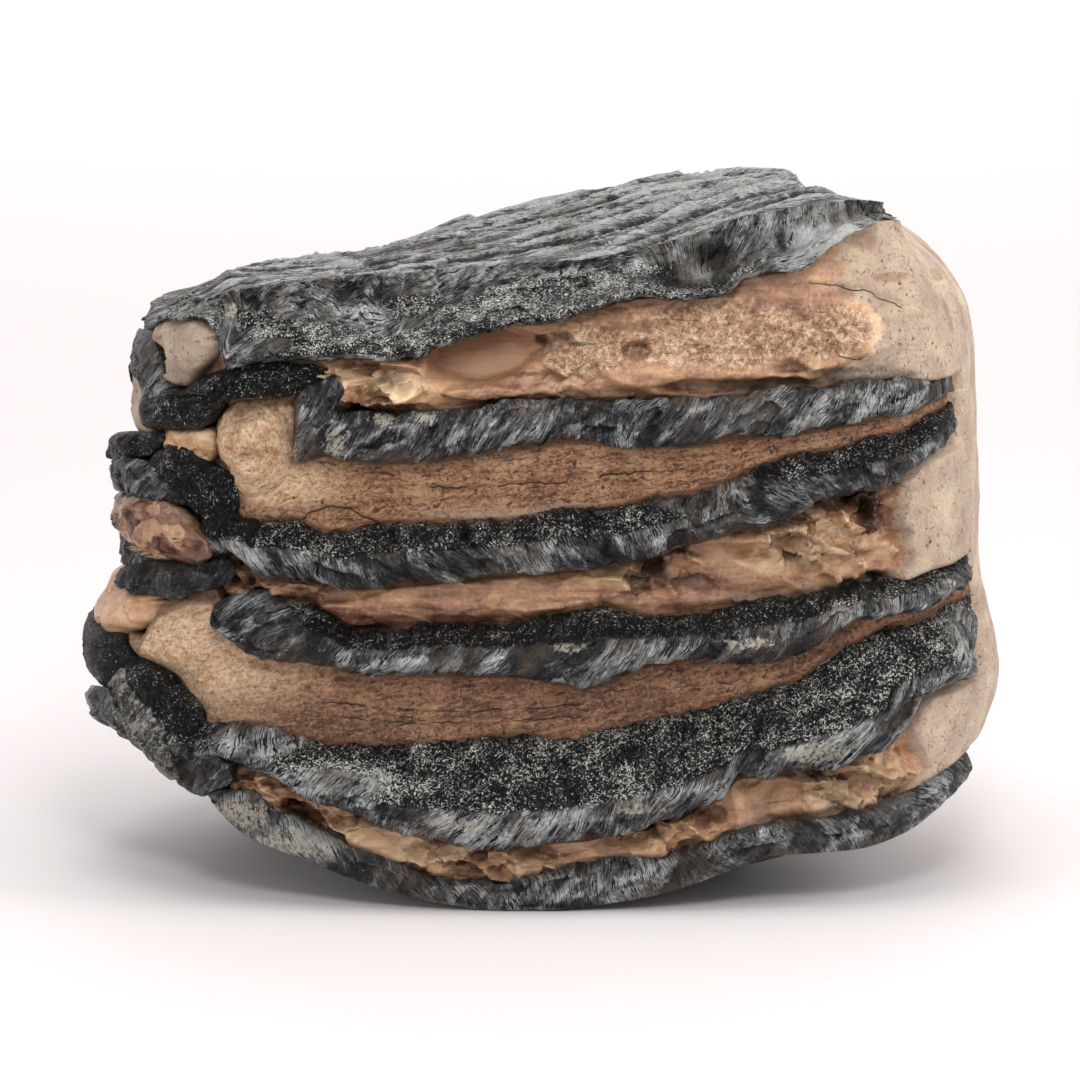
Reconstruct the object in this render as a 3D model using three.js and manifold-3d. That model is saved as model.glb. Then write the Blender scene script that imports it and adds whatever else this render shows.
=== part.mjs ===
// Fossil mammoth molar: a broken block of a tooth that lies with its plates level and its
// chewing face to the front. Millimetres, +Z up, chewing face towards -Y.
//
// The block is one closed skin. Its columns stand side by side along a tape laid round the
// block, and its rows follow the edges of the enamel, dentine and cementum bands, so each band
// can stand proud of its neighbours or lie back from them. Broken lumps are then joined on.
import * as THREE from 'three';
import { mergeVertices } from 'three/addons/utils/BufferGeometryUtils.js';
import Module from 'manifold-3d';

const wasm = await Module();
wasm.setup();

// ---- Driving dimensions ---------------------------------------------------------------------
const sightTilt = 10;          // degrees: front heights are read square to a line tipped this far
const frontColumns = 44;       // columns across the chewing face
const backColumns = 30;        // columns round the rest of the block
const frontReach = 54;         // the tape's reach each side of the front's middle
const topRings = 11;           // rings from the crest in to the middle of the top
const bottomRings = 4;         // and from the rim in to the middle underneath
const restFlat = 0.38;         // share of the underside, from its middle out, that is flat
const middle = { x: 0, y: 30 };
const centreShift = { x: 0.7, y: -29.85 };   // puts the bounding box's middle over the origin

// ---- Plan outline, from above, anticlockwise from the middle of the front -------------------
const outlinePoints = [
  [0, -0.5], [15, -0.3], [28, 0.8], [36, 3.5], [42, 9], [45.5, 18], [46, 30], [44, 42], [37, 52],
  [24, 58], [8, 60], [-10, 60.5], [-26, 58], [-38, 51], [-44, 40], [-45.5, 28], [-43.5, 16],
  [-38, 8], [-30, 2.8], [-15, 0.3],
];

// How far the sides draw in from that outline at each height: [z, inset].
const insetRight = [[0, 2], [12, 1.5], [20, 0.3], [26, 0], [35, 1], [45, 1.2], [52, 1.2], [58, 2],
  [62, 4.2], [66, 8.5], [70, 12]];
const insetLeft = [[0, 9], [12, 8], [16, 3], [20, 1.2], [24, 0.9], [27, 1.2], [30, 2.8], [34, 2.6],
  [40, 3.2], [45, 2.5], [50, 4], [56, 4], [60, 7.5], [62, 8.5], [64, 11], [70, 12]];
const insetFront = [[0, 1.2], [8, 0.6], [14, 0], [70, 0]];
const insetBack = [[0, 6], [12, 1.5], [30, 0], [52, 1.5], [62, 5], [70, 8]];

// ---- Band edges, from the lowest to the crest -----------------------------------------------
// front: [x, height] across the chewing face, read square to the tilted line of sight.
// round: heights z behind, at the tape marks in roundTape.
const roundTape = [66, 95, 128, -92, -66];
const bandEdges = [
  {
    front: [[-34, 12], [-29, 7.2], [-24, 5.3], [-19, 3.3], [-14, 1.7], [-9, 0.7], [-4, 0.1], [1, 0.1],
      [6, 0.7], [11, 1.5], [16, 3], [19.2, 4.2], [24, 5.7], [32, 6.3], [36.5, 7.7], [39, 9.3],
      [41, 11.3]],
    round: [13, 10, 5, 9, 13],
  },
  {
    front: [[-34, 12.8], [-29.5, 12], [-27, 10.3], [-24, 9], [-18, 6], [-14, 4.7], [-8, 3], [-4, 2.8],
      [-1, 3.5], [2, 4.3], [6, 5.3], [11, 5.7], [16, 6.5], [20, 8.3], [24, 9], [29, 9.5], [33, 10.3],
      [36, 11.3], [39, 13], [41.5, 14.3]],
    round: [16, 13, 8.5, 12.5, 16],
  },
  {
    front: [[-35.5, 14.7], [-31.5, 15], [-28, 13.7], [-24, 11.5], [-20, 10], [-16, 8.3], [-12, 7.2],
      [-8, 6.3], [-4, 5.9], [-1, 6.3], [6, 7], [11, 8.3], [16, 10], [18.5, 11.5], [20, 13.3],
      [24, 13.5], [28, 13.7], [31, 14.5], [34, 15.7], [35.5, 17], [36.5, 19], [37.5, 21.5],
      [39.5, 21.8], [41.5, 22.5]],
    round: [22, 20, 14, 17, 19],
  },
  {
    front: [[-40.5, 25], [-37, 24], [-34.2, 18.7], [-29, 18.8], [-26.5, 18], [-19, 16.7], [-9, 17],
      [-2, 17.7], [0.5, 17.3], [3, 17], [6, 18], [14, 19.7], [22, 22], [26, 23.3], [28, 24.7],
      [29.5, 26], [33, 27.2], [36, 28.7], [38.5, 29.5], [41, 31.3]],
    round: [29.5, 27, 20, 22, 22.5],
  },
  {
    front: [[-40.5, 26.3], [-38, 30], [-34, 31.2], [-32.5, 29], [-31.5, 28], [-30, 26.5],
      [-28, 25.5], [-24, 25.2], [-17, 23.8], [-6, 23.7], [-1, 23.5], [2, 22.8], [4.5, 22.7],
      [7, 23.1], [10, 24.5], [14, 25], [22, 25.2], [25.5, 25.7], [27.5, 27], [30, 28.3],
      [32, 29.3], [36, 30], [39, 30.5], [41, 31.8]],
    round: [31, 31, 26, 28, 29.5],
  },
  {
    front: [[-40.5, 31], [-36, 31.8], [-34, 32.3], [-31.5, 31.2], [-29.5, 31.8], [-27, 31.5],
      [-23, 30.7], [-21, 29.5], [-19, 28.3], [-16.5, 28.2], [-14, 28.5], [-4, 28.7], [1, 29.8],
      [6, 30.7], [8, 30], [12, 29.5], [16, 30], [20, 31], [26, 31.8], [31, 32.5], [34, 33],
      [37, 33.5], [39.5, 34.5], [42, 35.3]],
    round: [35, 35, 30, 31, 32],
  },
  {
    front: [[-41, 36], [-34, 35.5], [-31, 36], [-28, 33.5], [-24, 32.7], [-19, 32.3], [-14, 32.5],
      [-4, 33.5], [1, 33.8], [6, 34.3], [11, 35.2], [16, 37], [20, 38], [24, 38.7], [28, 41],
      [31, 41.8], [34, 42.5], [37.5, 44.2], [38.5, 45.3], [40.5, 46.3]],
    round: [47, 44, 36.5, 36, 36],
  },
  {
    front: [[-41, 39], [-34, 38.5], [-31, 39], [-28, 39.2], [-25, 39.5], [-22, 38.3], [-19.5, 38.2],
      [-16.5, 39], [-6, 39.2], [0, 39.8], [3, 40.5], [8, 40.7], [12, 41.8], [16, 42.2],
      [19, 43.5], [23, 45.2], [26, 46], [30, 46.5], [33, 47.5], [36, 48.2], [37.5, 49],
      [39, 50.3], [41, 51]],
    round: [51, 48, 41, 39.5, 40],
  },
  {
    front: [[-41, 44], [-34, 45], [-30, 44.5], [-24, 45.2], [-21.5, 45.8], [-20, 45.2], [-16, 45],
      [-11, 45.2], [-7, 45.7], [-4, 46.3], [0, 46.7], [2, 47.2], [5, 47], [10, 46.5], [16, 46.8],
      [19, 47.5], [24, 47.7], [29, 48.5], [34, 49.5], [37, 50], [39, 50.8], [41, 51.4]],
    round: [52, 51, 46, 45, 45.5],
  },
  {
    front: [[-41, 48], [-34, 50.5], [-28, 51.5], [-23.5, 51.8], [-21.5, 50.7], [-19, 50.3],
      [-10, 50.3], [-7, 50.5], [-4, 51.3], [2, 51.5], [16, 51.5], [20, 52], [24, 52.7],
      [28, 52.7], [31, 53.5], [36, 53.7], [40, 53.7]],
    round: [55, 55, 50, 49, 48.5],
  },
  {
    front: [[-41, 56], [-37.5, 60], [-33, 59.5], [-31.5, 57.5], [-30.5, 55], [-24, 55.3],
      [-14, 55.5], [-12, 55.8], [-10, 56.7], [-6, 57.8], [-2, 58.9], [2, 59.5], [6, 60.5],
      [10, 61.5], [14, 61.7], [18, 61.8], [19.2, 62.5], [20.5, 63.5], [28, 64], [28.8, 65.3],
      [30, 66.3], [31, 67.5], [34, 69], [36, 69.6]],
    round: [64, 62, 58, 53, 55],
  },
  {
    front: [[-41, 58], [-38, 61], [-31.5, 61.7], [-24, 62.7], [-14, 63.5], [-6, 64], [2, 64.5],
      [8, 65.3], [15, 67.1], [22, 69.3], [31, 70.8], [36, 71.1]],
    round: [68.5, 66.8, 64, 57.5, 58.5],
  },
];

// ---- Bands between those edges --------------------------------------------------------------
// rows: [share of the band's height, offset out of the block's face].
// wall: tape mark on the right beyond which smooth cementum covers the band.
const wallEnd = 90;
const bands = [
  { name: 'bottomEnamel', wall: 50, rows: [[0.1, -0.5], [0.5, 1.0], [0.9, 0.8]] },
  { name: 'lowCementum', wall: 36, rows: [[0.08, -2.0], [0.5, -2.6], [0.92, -2.2]] },
  { name: 'lowPlateUnder', wall: 50, rows: [[0.06, 1.2], [0.3, 2.6], [0.6, 1.4], [0.95, -0.9]] },
  { name: 'lowDentine', wall: 50, rows: [[0.08, -1.8], [0.5, -1.2], [0.92, -1.6]] },
  { name: 'lowPlateOver', wall: 50, rows: [[0.08, 1.5], [0.35, 2.2], [0.65, 0.8], [0.95, -1.3]] },
  { name: 'midCementum', wall: 35, rows: [[0.08, -2.6], [0.35, -2.2], [0.65, -2.0], [0.94, -2.4]] },
  { name: 'highPlateUnder', wall: 45, rows: [[0.07, 1.0], [0.35, 2.0], [0.65, 1.2], [0.94, -0.5]] },
  { name: 'highDentine', wall: 45, rows: [[0.08, -1.4], [0.5, -1.0], [0.92, -1.4]] },
  { name: 'highPlateOver', wall: 45, rows: [[0.08, 1.4], [0.5, 1.9], [0.92, 1.0]] },
  { name: 'highCementum', wall: 37, rows: [[0.06, -1.0], [0.3, -1.0], [0.65, -1.0], [0.95, -1.6]] },
  { name: 'topBevel', wall: 300, rows: [[0.05, 1.2], [0.2, 1.5], [0.5, 0], [0.8, 0]] },
];

// How far the top plate's bevel has leaned back by its crest, along the tape: [tape, lean].
const overhang = 1.5;          // the bevel's lip, which both ends of the top plate lack
const bevelLean = [[-128, 2], [-70, 4], [-30, 7], [0, 6], [20, 4.5], [40, 3], [70, 2], [128, 2]];

// Hollows and swellings of single bands along the front: [band, tape from, tape to, change].
const bandRelief = [
  ['highCementum', -18, 2, -3.6],
  ['highCementum', 2, 14, -1.6],
  ['midCementum', 14, 33, 1.6],
  ['midCementum', 20, 31, -2.2],
  ['lowCementum', 0, 12, -1.2],
  ['lowCementum', 20, 36, 1.4],
];

// ---- Broken lumps joined on at the left end -------------------------------------------------
// x and z of the middle, half sizes, turn in the face plane, and how far out of the face it sits.
const lumps = [
  { x: -28.8, z: 48.3, half: [5.6, 4.6, 4.4], turn: 10, out: -1.0 },   // dentine knob
  { x: -31, z: 52.2, half: [7.5, 4.4, 1.8], turn: -8, out: 0.4 },      // shelf over the knob
  { x: -36.2, z: 50.2, half: [5.4, 4.4, 2], turn: 48, out: 0.2 },      // the shelf's fallen left limb
  { x: -34.2, z: 57, half: [3.6, 4.6, 4], turn: 12, out: -1.4 },       // chunk under the top plate
  { x: -33.8, z: 44.2, half: [6.6, 5.6, 2.8], turn: -48, out: -1.0 },  // granular slope
  { x: -38.2, z: 41.2, half: [5, 5, 3.4], turn: -30, out: -1.6 },      // glossy fragments
  { x: -36.6, z: 34.6, half: [4.2, 5, 2.2], turn: 8, out: -0.4 },
  { x: -41, z: 30.6, half: [3, 4.6, 4], turn: 0, out: -2.4 },          // smooth cementum boss
  { x: -29.4, z: 29.6, half: [3, 3.6, 2.4], turn: -20, out: 0.6 },     // blunt end of a plate
  { x: -43.2, z: 25.4, half: [2.6, 4.4, 5.4], turn: 8, out: -1.8 },    // left wall of the low plate
  { x: -37.2, z: 20.4, half: [3.6, 4.6, 6.6], turn: 30, out: -0.8 },
  { x: -23.2, z: 48, half: [2.2, 3.2, 3.8], turn: 15, out: -0.4 },
];

// ---- Small helpers --------------------------------------------------------------------------
const clamp = (v, low, high) => Math.min(high, Math.max(low, v));
const mix = (a, b, s) => a + (b - a) * s;
const smooth = (a, b, v) => {
  const s = clamp((v - a) / (b - a), 0, 1);
  return s * s * (3 - 2 * s);
};

// A curve through [place, value] knots that never swings past them (monotone cubic).
function curveThrough(knots) {
  const last = knots.length - 1;
  const rise = knots.slice(1).map((k, i) => (k[1] - knots[i][1]) / (k[0] - knots[i][0]));
  const slope = knots.map((k, i) => {
    if (i === 0) return rise[0];
    if (i === last) return rise[last - 1];
    if (rise[i - 1] * rise[i] <= 0) return 0;
    return (2 * rise[i - 1] * rise[i]) / (rise[i - 1] + rise[i]);
  });
  return (place) => {
    if (place <= knots[0][0]) return knots[0][1];
    if (place >= knots[last][0]) return knots[last][1];
    let i = 0;
    while (place > knots[i + 1][0]) i += 1;
    const run = knots[i + 1][0] - knots[i][0];
    const s = (place - knots[i][0]) / run;
    const held = (1 + 2 * s) * (1 - s) ** 2 * knots[i][1] + s * s * (3 - 2 * s) * knots[i + 1][1];
    return held + run * (s * (1 - s) ** 2 * slope[i] - s * s * (1 - s) * slope[i + 1]);
  };
}

// Repeatable noise from -1 to 1 that varies smoothly over about one unit of each coordinate.
function cornerValue(i, j, k) {
  const mixed = Math.sin(i * 127.1 + j * 311.7 + k * 74.7) * 43758.5453;
  return 2 * (mixed - Math.floor(mixed)) - 1;
}
function noise(x, y, z) {
  const [i, j, k] = [Math.floor(x), Math.floor(y), Math.floor(z)];
  const [u, v, w] = [smooth(0, 1, x - i), smooth(0, 1, y - j), smooth(0, 1, z - k)];
  const layer = (level) => mix(
    mix(cornerValue(i, j, level), cornerValue(i + 1, j, level), u),
    mix(cornerValue(i, j + 1, level), cornerValue(i + 1, j + 1, level), u),
    v,
  );
  return mix(layer(k), layer(k + 1), w);
}

// ---- The tape round the block ---------------------------------------------------------------
const outline = new THREE.CatmullRomCurve3(
  outlinePoints.map(([x, y]) => new THREE.Vector3(x, y, 0)), true, 'catmullrom', 0.5,
);
outline.arcLengthDivisions = 2000;
const tapeLength = outline.getLength();

// The point on the outline and the way out from it, at a tape mark.
function onOutline(tape) {
  const share = ((tape / tapeLength) % 1 + 1) % 1;
  const point = outline.getPointAt(share);
  const along = outline.getTangentAt(share);
  return { x: point.x, y: point.y, outX: along.y, outY: -along.x };
}

const drawIn = {
  right: curveThrough(insetRight),
  left: curveThrough(insetLeft),
  front: curveThrough(insetFront),
  back: curveThrough(insetBack),
};

// A point of the block's side at a tape mark and height, moved out by an offset.
function onSide(tape, z, offset) {
  const { x, y, outX, outY } = onOutline(tape);
  const sideInset = outX > 0 ? drawIn.right(z) : drawIn.left(z);
  const faceInset = outY > 0 ? drawIn.back(z) : drawIn.front(z);
  const out = offset - sideInset * outX ** 2 - faceInset * outY ** 2;
  return new THREE.Vector3(x + outX * out, y + outY * out, z);
}

// The tape mark on the front whose point, at about that height, lies at x.
function tapeAtX(x, z) {
  let [low, high] = [-62, 62];
  for (let step = 0; step < 30; step += 1) {
    const trial = (low + high) / 2;
    if (onSide(trial, z, 0).x < x) low = trial;
    else high = trial;
  }
  return (low + high) / 2;
}

// Turns an edge's front and round lists into one height curve over the whole tape.
const tilt = THREE.MathUtils.degToRad(sightTilt);
function edgeCurve({ front, round }) {
  const knots = front.map(([x, height]) => {
    let z = height / Math.cos(tilt);
    let tape = 0;
    for (let step = 0; step < 4; step += 1) {
      tape = tapeAtX(x, z);
      z = (height - onSide(tape, z, 0).y * Math.sin(tilt)) / Math.cos(tilt);
    }
    return [tape, Math.max(z, 0)];
  });
  round.forEach((z, i) => {
    const mark = roundTape[i];
    if (mark > knots.at(-1)[0] + 3 || mark < knots[0][0] - 3) knots.push([mark, z]);
  });
  knots.sort((a, b) => a[0] - b[0]);
  const lapped = [
    [knots.at(-1)[0] - tapeLength, knots.at(-1)[1]],
    ...knots,
    [knots[0][0] + tapeLength, knots[0][1]],
  ];
  return curveThrough(lapped);
}
const edges = bandEdges.map(edgeCurve);

// ---- The rows of the skin -------------------------------------------------------------------
// How much of the smooth cementum wall covers a band at a tape mark, from 0 to 1.
function wallCover(tape, wall) {
  return smooth(wall, wall + 4, tape) * (1 - smooth(wallEnd - 6, wallEnd + 2, tape));
}
// How far a tape mark lies in the broken left end, from 0 to 1.
function leftEnd(tape) {
  return smooth(-34, -50, tape) * (1 - smooth(-86, -100, tape));
}

const bevelAt = curveThrough(bevelLean);
function bandOffset(band, tape, share, offset) {
  let out = offset;
  for (const [name, from, to, change] of bandRelief) {
    if (name === band.name) out += change * smooth(from, from + 4, tape) * (1 - smooth(to - 4, to, tape));
  }
  if (band.name === 'topBevel') {
    out -= bevelAt(tape) * smooth(0.1, 1, share);
    out -= overhang * (wallCover(tape, 36) + leftEnd(tape));
  }
  return mix(out, 0, wallCover(tape, band.wall));
}

// Lumps and hollows of the broken faces, and the soft ribs that the plates leave in the wall.
function roughness(point, tape) {
  const broken = 1 - 0.75 * wallCover(tape, 44);
  const coarse = noise(point.x / 7, point.y / 7 + 3, point.z / 4) * (0.5 + 1.1 * leftEnd(tape));
  const fine = noise(point.x / 2.6 + 9, point.y / 2.6, point.z / 1.8) * 0.35;
  return (coarse + fine) * broken;
}

function sideRow(zAt, offsetAt) {
  return (tape) => {
    const z = zAt(tape);
    const point = onSide(tape, z, offsetAt(tape));
    return onSide(tape, z, offsetAt(tape) + roughness(point, tape));
  };
}

// The top face: wavy ripples that run mostly from left to right, over a surface that
// climbs to the right, between a front crest and a back rim.
const topFront = curveThrough([[-44, 57], [-29, 60.3], [-14, 62.7], [2, 64.2], [15, 67.1], [22, 69.3],
  [31, 70.6], [40, 70.2]]);
const topBack = curveThrough([[-44, 57.5], [-30, 58.8], [-14, 61.2], [0, 65], [6, 66.7], [16, 68.3],
  [24, 68], [32, 67], [42, 65]]);
const rippleTurn = THREE.MathUtils.degToRad(20);
const rippleLength = 9.5;
const rippleHeight = 0.75;
function topHeight(x, y) {
  const across = y * Math.cos(rippleTurn) - x * Math.sin(rippleTurn);
  const wander = 2.4 * noise(x / 16, y / 16, 5);
  const ripple = Math.sin((2 * Math.PI * (across + wander)) / rippleLength);
  const level = mix(topFront(x), topBack(x), clamp((y - 6) / 44, 0, 1));
  const scarp = 1.6 * smooth(12, 20, x) * smooth(4, 8, y) * (1 - smooth(8, 13, y));
  const dome = 1.2 * Math.sin(Math.PI * clamp(y / 56, 0, 1));
  return level + dome - scarp + rippleHeight * ripple + 0.5 * noise(x / 7, y / 5, 11);
}

function cap(rim, share, heightAt) {
  return (tape) => {
    const edge = rim(tape);
    const x = mix(middle.x, edge.x, share);
    const y = mix(middle.y, edge.y, share);
    return new THREE.Vector3(x, y, heightAt(x, y, share, edge.z));
  };
}

const bottomRim = sideRow((tape) => edges[0](tape), () => -0.6);
const crest = sideRow((tape) => edges.at(-1)(tape), (tape) => -bevelAt(tape));
const underside = (x, y, share, rimZ) => rimZ * smooth(restFlat, 1, share) ** 1.2;
const topside = (x, y, share, rimZ) => mix(topHeight(x, y), rimZ, smooth(0.86, 1, share));

const rows = [];
for (let ring = 1; ring < bottomRings; ring += 1) {
  const share = (ring / bottomRings) ** 0.8;
  rows.push(cap(bottomRim, share, underside));
}
rows.push(bottomRim);
bands.forEach((band, i) => {
  for (const [share, offset] of band.rows) {
    rows.push(sideRow(
      (tape) => mix(edges[i](tape), edges[i + 1](tape), share),
      (tape) => bandOffset(band, tape, share, offset),
    ));
  }
});
rows.push(crest);
for (let ring = topRings - 1; ring > 0; ring -= 1) {
  rows.push(cap(crest, ring / topRings, topside));
}

// ---- The skin -------------------------------------------------------------------------------
function tapeMarks() {
  const marks = [];
  for (let i = 0; i < frontColumns; i += 1) marks.push(mix(-frontReach, frontReach, i / frontColumns));
  const rest = tapeLength - 2 * frontReach;
  for (let i = 0; i < backColumns; i += 1) marks.push(frontReach + (rest * i) / backColumns);
  return marks.map((mark) => (mark > tapeLength / 2 ? mark - tapeLength : mark));
}

function skin() {
  const marks = tapeMarks();
  const points = rows.flatMap((row) => marks.map(row));
  const bottomPole = points.push(new THREE.Vector3(middle.x, middle.y, 0)) - 1;
  const topPole = points.push(
    new THREE.Vector3(middle.x, middle.y, topHeight(middle.x, middle.y)),
  ) - 1;
  const count = marks.length;
  const faces = [];
  for (let i = 0; i < count; i += 1) {
    const next = (i + 1) % count;
    faces.push(bottomPole, next, i);
    for (let j = 0; j < rows.length - 1; j += 1) {
      const [low, high] = [j * count, (j + 1) * count];
      faces.push(low + i, low + next, high + next, low + i, high + next, high + i);
    }
    const last = (rows.length - 1) * count;
    faces.push(topPole, last + i, last + next);
  }
  return closedMesh(points, faces);
}

function closedMesh(points, faces) {
  const geometry = new THREE.BufferGeometry();
  const flat = new Float32Array(points.flatMap((p) => [p.x, p.y, p.z]));
  geometry.setAttribute('position', new THREE.BufferAttribute(flat, 3));
  geometry.setIndex(faces);
  return geometry;
}

// A broken lump: a ball stretched to its half sizes, roughened, and set into the left end's face.
function lump({ x, z, half, turn, out }) {
  const geometry = new THREE.SphereGeometry(1, 10, 6);
  const tape = tapeAtX(x, z);
  const seat = onSide(tape, z, out);
  const { outX, outY } = onOutline(tape);
  const angle = THREE.MathUtils.degToRad(turn);
  const position = geometry.attributes.position;
  for (let i = 0; i < position.count; i += 1) {
    const p = new THREE.Vector3().fromBufferAttribute(position, i);
    const rough = 1 + 0.3 * noise(p.x * 1.9 + x, p.y * 1.9 + z, p.z * 1.9);
    const across = p.x * half[0] * rough;
    const up = p.z * half[2] * rough;
    const deep = p.y * half[1] * rough;
    const side = across * Math.cos(angle) - up * Math.sin(angle);
    const rise = across * Math.sin(angle) + up * Math.cos(angle);
    position.setXYZ(
      i,
      seat.x + side * -outY - deep * outX,
      seat.y + side * outX - deep * outY,
      seat.z + rise,
    );
  }
  return geometry;
}

function toSolid(geometry) {
  geometry.deleteAttribute('normal');
  geometry.deleteAttribute('uv');
  const merged = mergeVertices(geometry, 1e-4);
  return new wasm.Manifold(new wasm.Mesh({
    numProp: 3,
    vertProperties: merged.attributes.position.array,
    triVerts: new Uint32Array(merged.index.array),
  }));
}

function toGeometry(solid) {
  const { vertProperties, triVerts } = solid.getMesh();
  const geometry = new THREE.BufferGeometry();
  geometry.setAttribute('position', new THREE.BufferAttribute(vertProperties, 3));
  geometry.setIndex(new THREE.BufferAttribute(triVerts, 1));
  geometry.computeVertexNormals();
  return geometry;
}

const block = lumps.reduce((solid, shape) => solid.add(toSolid(lump(shape))), toSolid(skin()));

const molar = new THREE.Mesh(
  toGeometry(block),
  new THREE.MeshStandardMaterial({ color: 0x6b5344, roughness: 0.6, metalness: 0 }),
);
molar.name = 'molar';
molar.position.set(centreShift.x, centreShift.y, 0);

const group = new THREE.Group();
group.add(molar);

export default group;
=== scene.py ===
import math

import bpy
import numpy as np
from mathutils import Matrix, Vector


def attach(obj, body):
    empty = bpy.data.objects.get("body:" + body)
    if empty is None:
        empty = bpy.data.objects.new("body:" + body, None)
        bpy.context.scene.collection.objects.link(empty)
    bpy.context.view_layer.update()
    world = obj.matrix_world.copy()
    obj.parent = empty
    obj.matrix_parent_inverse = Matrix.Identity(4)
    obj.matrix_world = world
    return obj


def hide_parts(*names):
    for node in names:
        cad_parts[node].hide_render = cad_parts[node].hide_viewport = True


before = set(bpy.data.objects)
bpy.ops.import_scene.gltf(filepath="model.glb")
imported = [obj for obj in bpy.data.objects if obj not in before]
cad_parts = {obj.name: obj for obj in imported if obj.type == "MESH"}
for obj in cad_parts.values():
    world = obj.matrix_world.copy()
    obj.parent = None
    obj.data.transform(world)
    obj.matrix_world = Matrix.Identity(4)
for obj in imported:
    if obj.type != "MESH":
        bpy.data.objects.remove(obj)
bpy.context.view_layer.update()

# Lengths are in millimetres until a mesh is made, and a mesh is in metres.
mm = 0.001
# distance to a crack, in half widths, where there is none near
noCrack = 9.0
farAway = 99.0

# the tooth lies with its plates level, its chewing face towards -Y and +Z up
block = {
    "shift": (0.7, -29.85),        # the solid's own shift, so both share one frame
    "sightTilt": 10.0,             # degrees: heights on the front are read square to this line
    "sightDistance": 700.0,        # from where places that stand back from the front are read
    "sightHeight": 37.5,           # and the height that this line aims at
    "frontReach": 63.0,            # tape marks each way that a front place can have
    "fineStep": 0.19,              # column spacing across the chewing face
    "coarseStep": 1.0,             # and round the rest of the block
    "fineFrom": -62.0,
    "fineTo": 52.0,
    "middle": (0.0, 30.0),
    "wallEnd": 90.0,               # tape mark where the smooth wall stops at the back
    "wallDepth": -2.2,             # offset of a plate where the smooth wall covers it
    "buried": -5.5,                # and of the rows that close a plate behind
    "coreWallDepth": -3.2,         # the same two for the dentine between the plates
    "coreBuried": -6.0,
    "outline": [
        (0, -0.5), (15, -0.3), (28, 0.8), (36, 3.5), (42, 9), (45.5, 18), (46, 30), (44, 42),
        (37, 52), (24, 58), (8, 60), (-10, 60.5), (-26, 58), (-38, 51), (-44, 40), (-45.5, 28),
        (-43.5, 16), (-38, 8), (-30, 2.8), (-15, 0.3),
    ],
    # how far each side draws in from the outline, as (height, inset)
    "insetRight": [(0, 2), (12, 1.5), (20, 0.3), (26, 0), (35, 1), (45, 1.2), (52, 1.2), (58, 2),
                   (62, 4.2), (66, 8.5), (70, 12)],
    "insetLeft": [(0, 9), (12, 8), (16, 3), (20, 1.2), (24, 0.9), (27, 1.2), (30, 2.8), (34, 2.6),
                  (40, 3.2), (45, 2.5), (50, 4), (56, 4), (60, 7.5), (62, 8.5), (64, 11), (70, 12)],
    "insetFront": [(0, 1.2), (8, 0.6), (14, 0), (70, 0)],
    "insetBack": [(0, 6), (12, 1.5), (30, 0), (52, 1.5), (62, 5), (70, 8)],
}


# from 0 to 1 as 3 s squared less 2 s cubed, with the slope flat at both ends
def eased(s):
    return s * s * (3 - 2 * s)


# eased step: 0 below a, 1 above b
def smooth(a, b, v):
    return eased(np.clip((v - a) / (b - a), 0, 1))


# part of the way from a to b
def mix(a, b, share):
    return a + (b - a) * share


# curve through (place, value) knots: a cubic between each pair, with slopes that are the
# harmonic mean of the two rises and zero at a turn, so it never swings past a knot
def curveThrough(knots):
    place, value = np.array(knots, float).T
    run = np.diff(place)
    rise = np.diff(value) / run
    slope = np.concatenate([rise[:1], np.zeros(len(rise) - 1), rise[-1:]])
    same = rise[:-1] * rise[1:] > 0
    total = np.where(same, rise[:-1] + rise[1:], 1)
    slope[1:-1] = np.where(same, 2 * rise[:-1] * rise[1:] / total, 0)

    # the cubic of the pair that v lies between, by its share s of the way
    def at(v):
        v = np.clip(v, place[0], place[-1])
        i = np.clip(np.searchsorted(place, v, side="right") - 1, 0, len(run) - 1)
        s = (v - place[i]) / run[i]
        held = (1 + 2 * s) * (1 - s) ** 2 * value[i] + eased(s) * value[i + 1]
        return held + run[i] * (s * (1 - s) ** 2 * slope[i] - s * s * (1 - s) * slope[i + 1])

    return at


# closed curve through points: Catmull-Rom, a cubic whose tangent at each point is half
# the step between its two neighbours
def closedCurve(points, perSpan):
    p1 = np.array(points, float)
    p0, p2, p3 = np.roll(p1, 1, 0), np.roll(p1, -1, 0), np.roll(p1, -2, 0)
    s = (np.arange(perSpan) / perSpan)[None, :, None]
    p0, p1, p2, p3 = [p[:, None, :] for p in (p0, p1, p2, p3)]
    curve = 0.5 * (2 * p1 + (p2 - p0) * s + (2 * p0 - 5 * p1 + 4 * p2 - p3) * s ** 2
                   + (3 * p1 - p0 - 3 * p2 + p3) * s ** 3)
    return curve.reshape(-1, p1.shape[-1])


# the tape: distance round the outline from the middle of the front, positive to the right
ring = closedCurve(block["outline"], 240)
ringStep = np.linalg.norm(np.roll(ring, -1, 0) - ring, axis=1)
ringTape = np.concatenate([[0], np.cumsum(ringStep)])
tapeLength = ringTape[-1]
ringAhead = np.roll(ring, -1, 0) - np.roll(ring, 1, 0)
ringAhead /= np.linalg.norm(ringAhead, axis=1)[:, None]
ringTable = np.concatenate([ring, ringAhead[:, 1:], -ringAhead[:, :1]], axis=1)
ringTable = np.concatenate([ringTable, ringTable[:1]])


# x, y and the way out at a tape mark, read from the table in a straight line between places
def onOutline(tape):
    around = np.mod(tape, tapeLength)
    return [np.interp(around, ringTape, ringTable[:, i]) for i in range(4)]


drawIn = {side: curveThrough(block["inset" + side]) for side in ("Right", "Left", "Front", "Back")}


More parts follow.
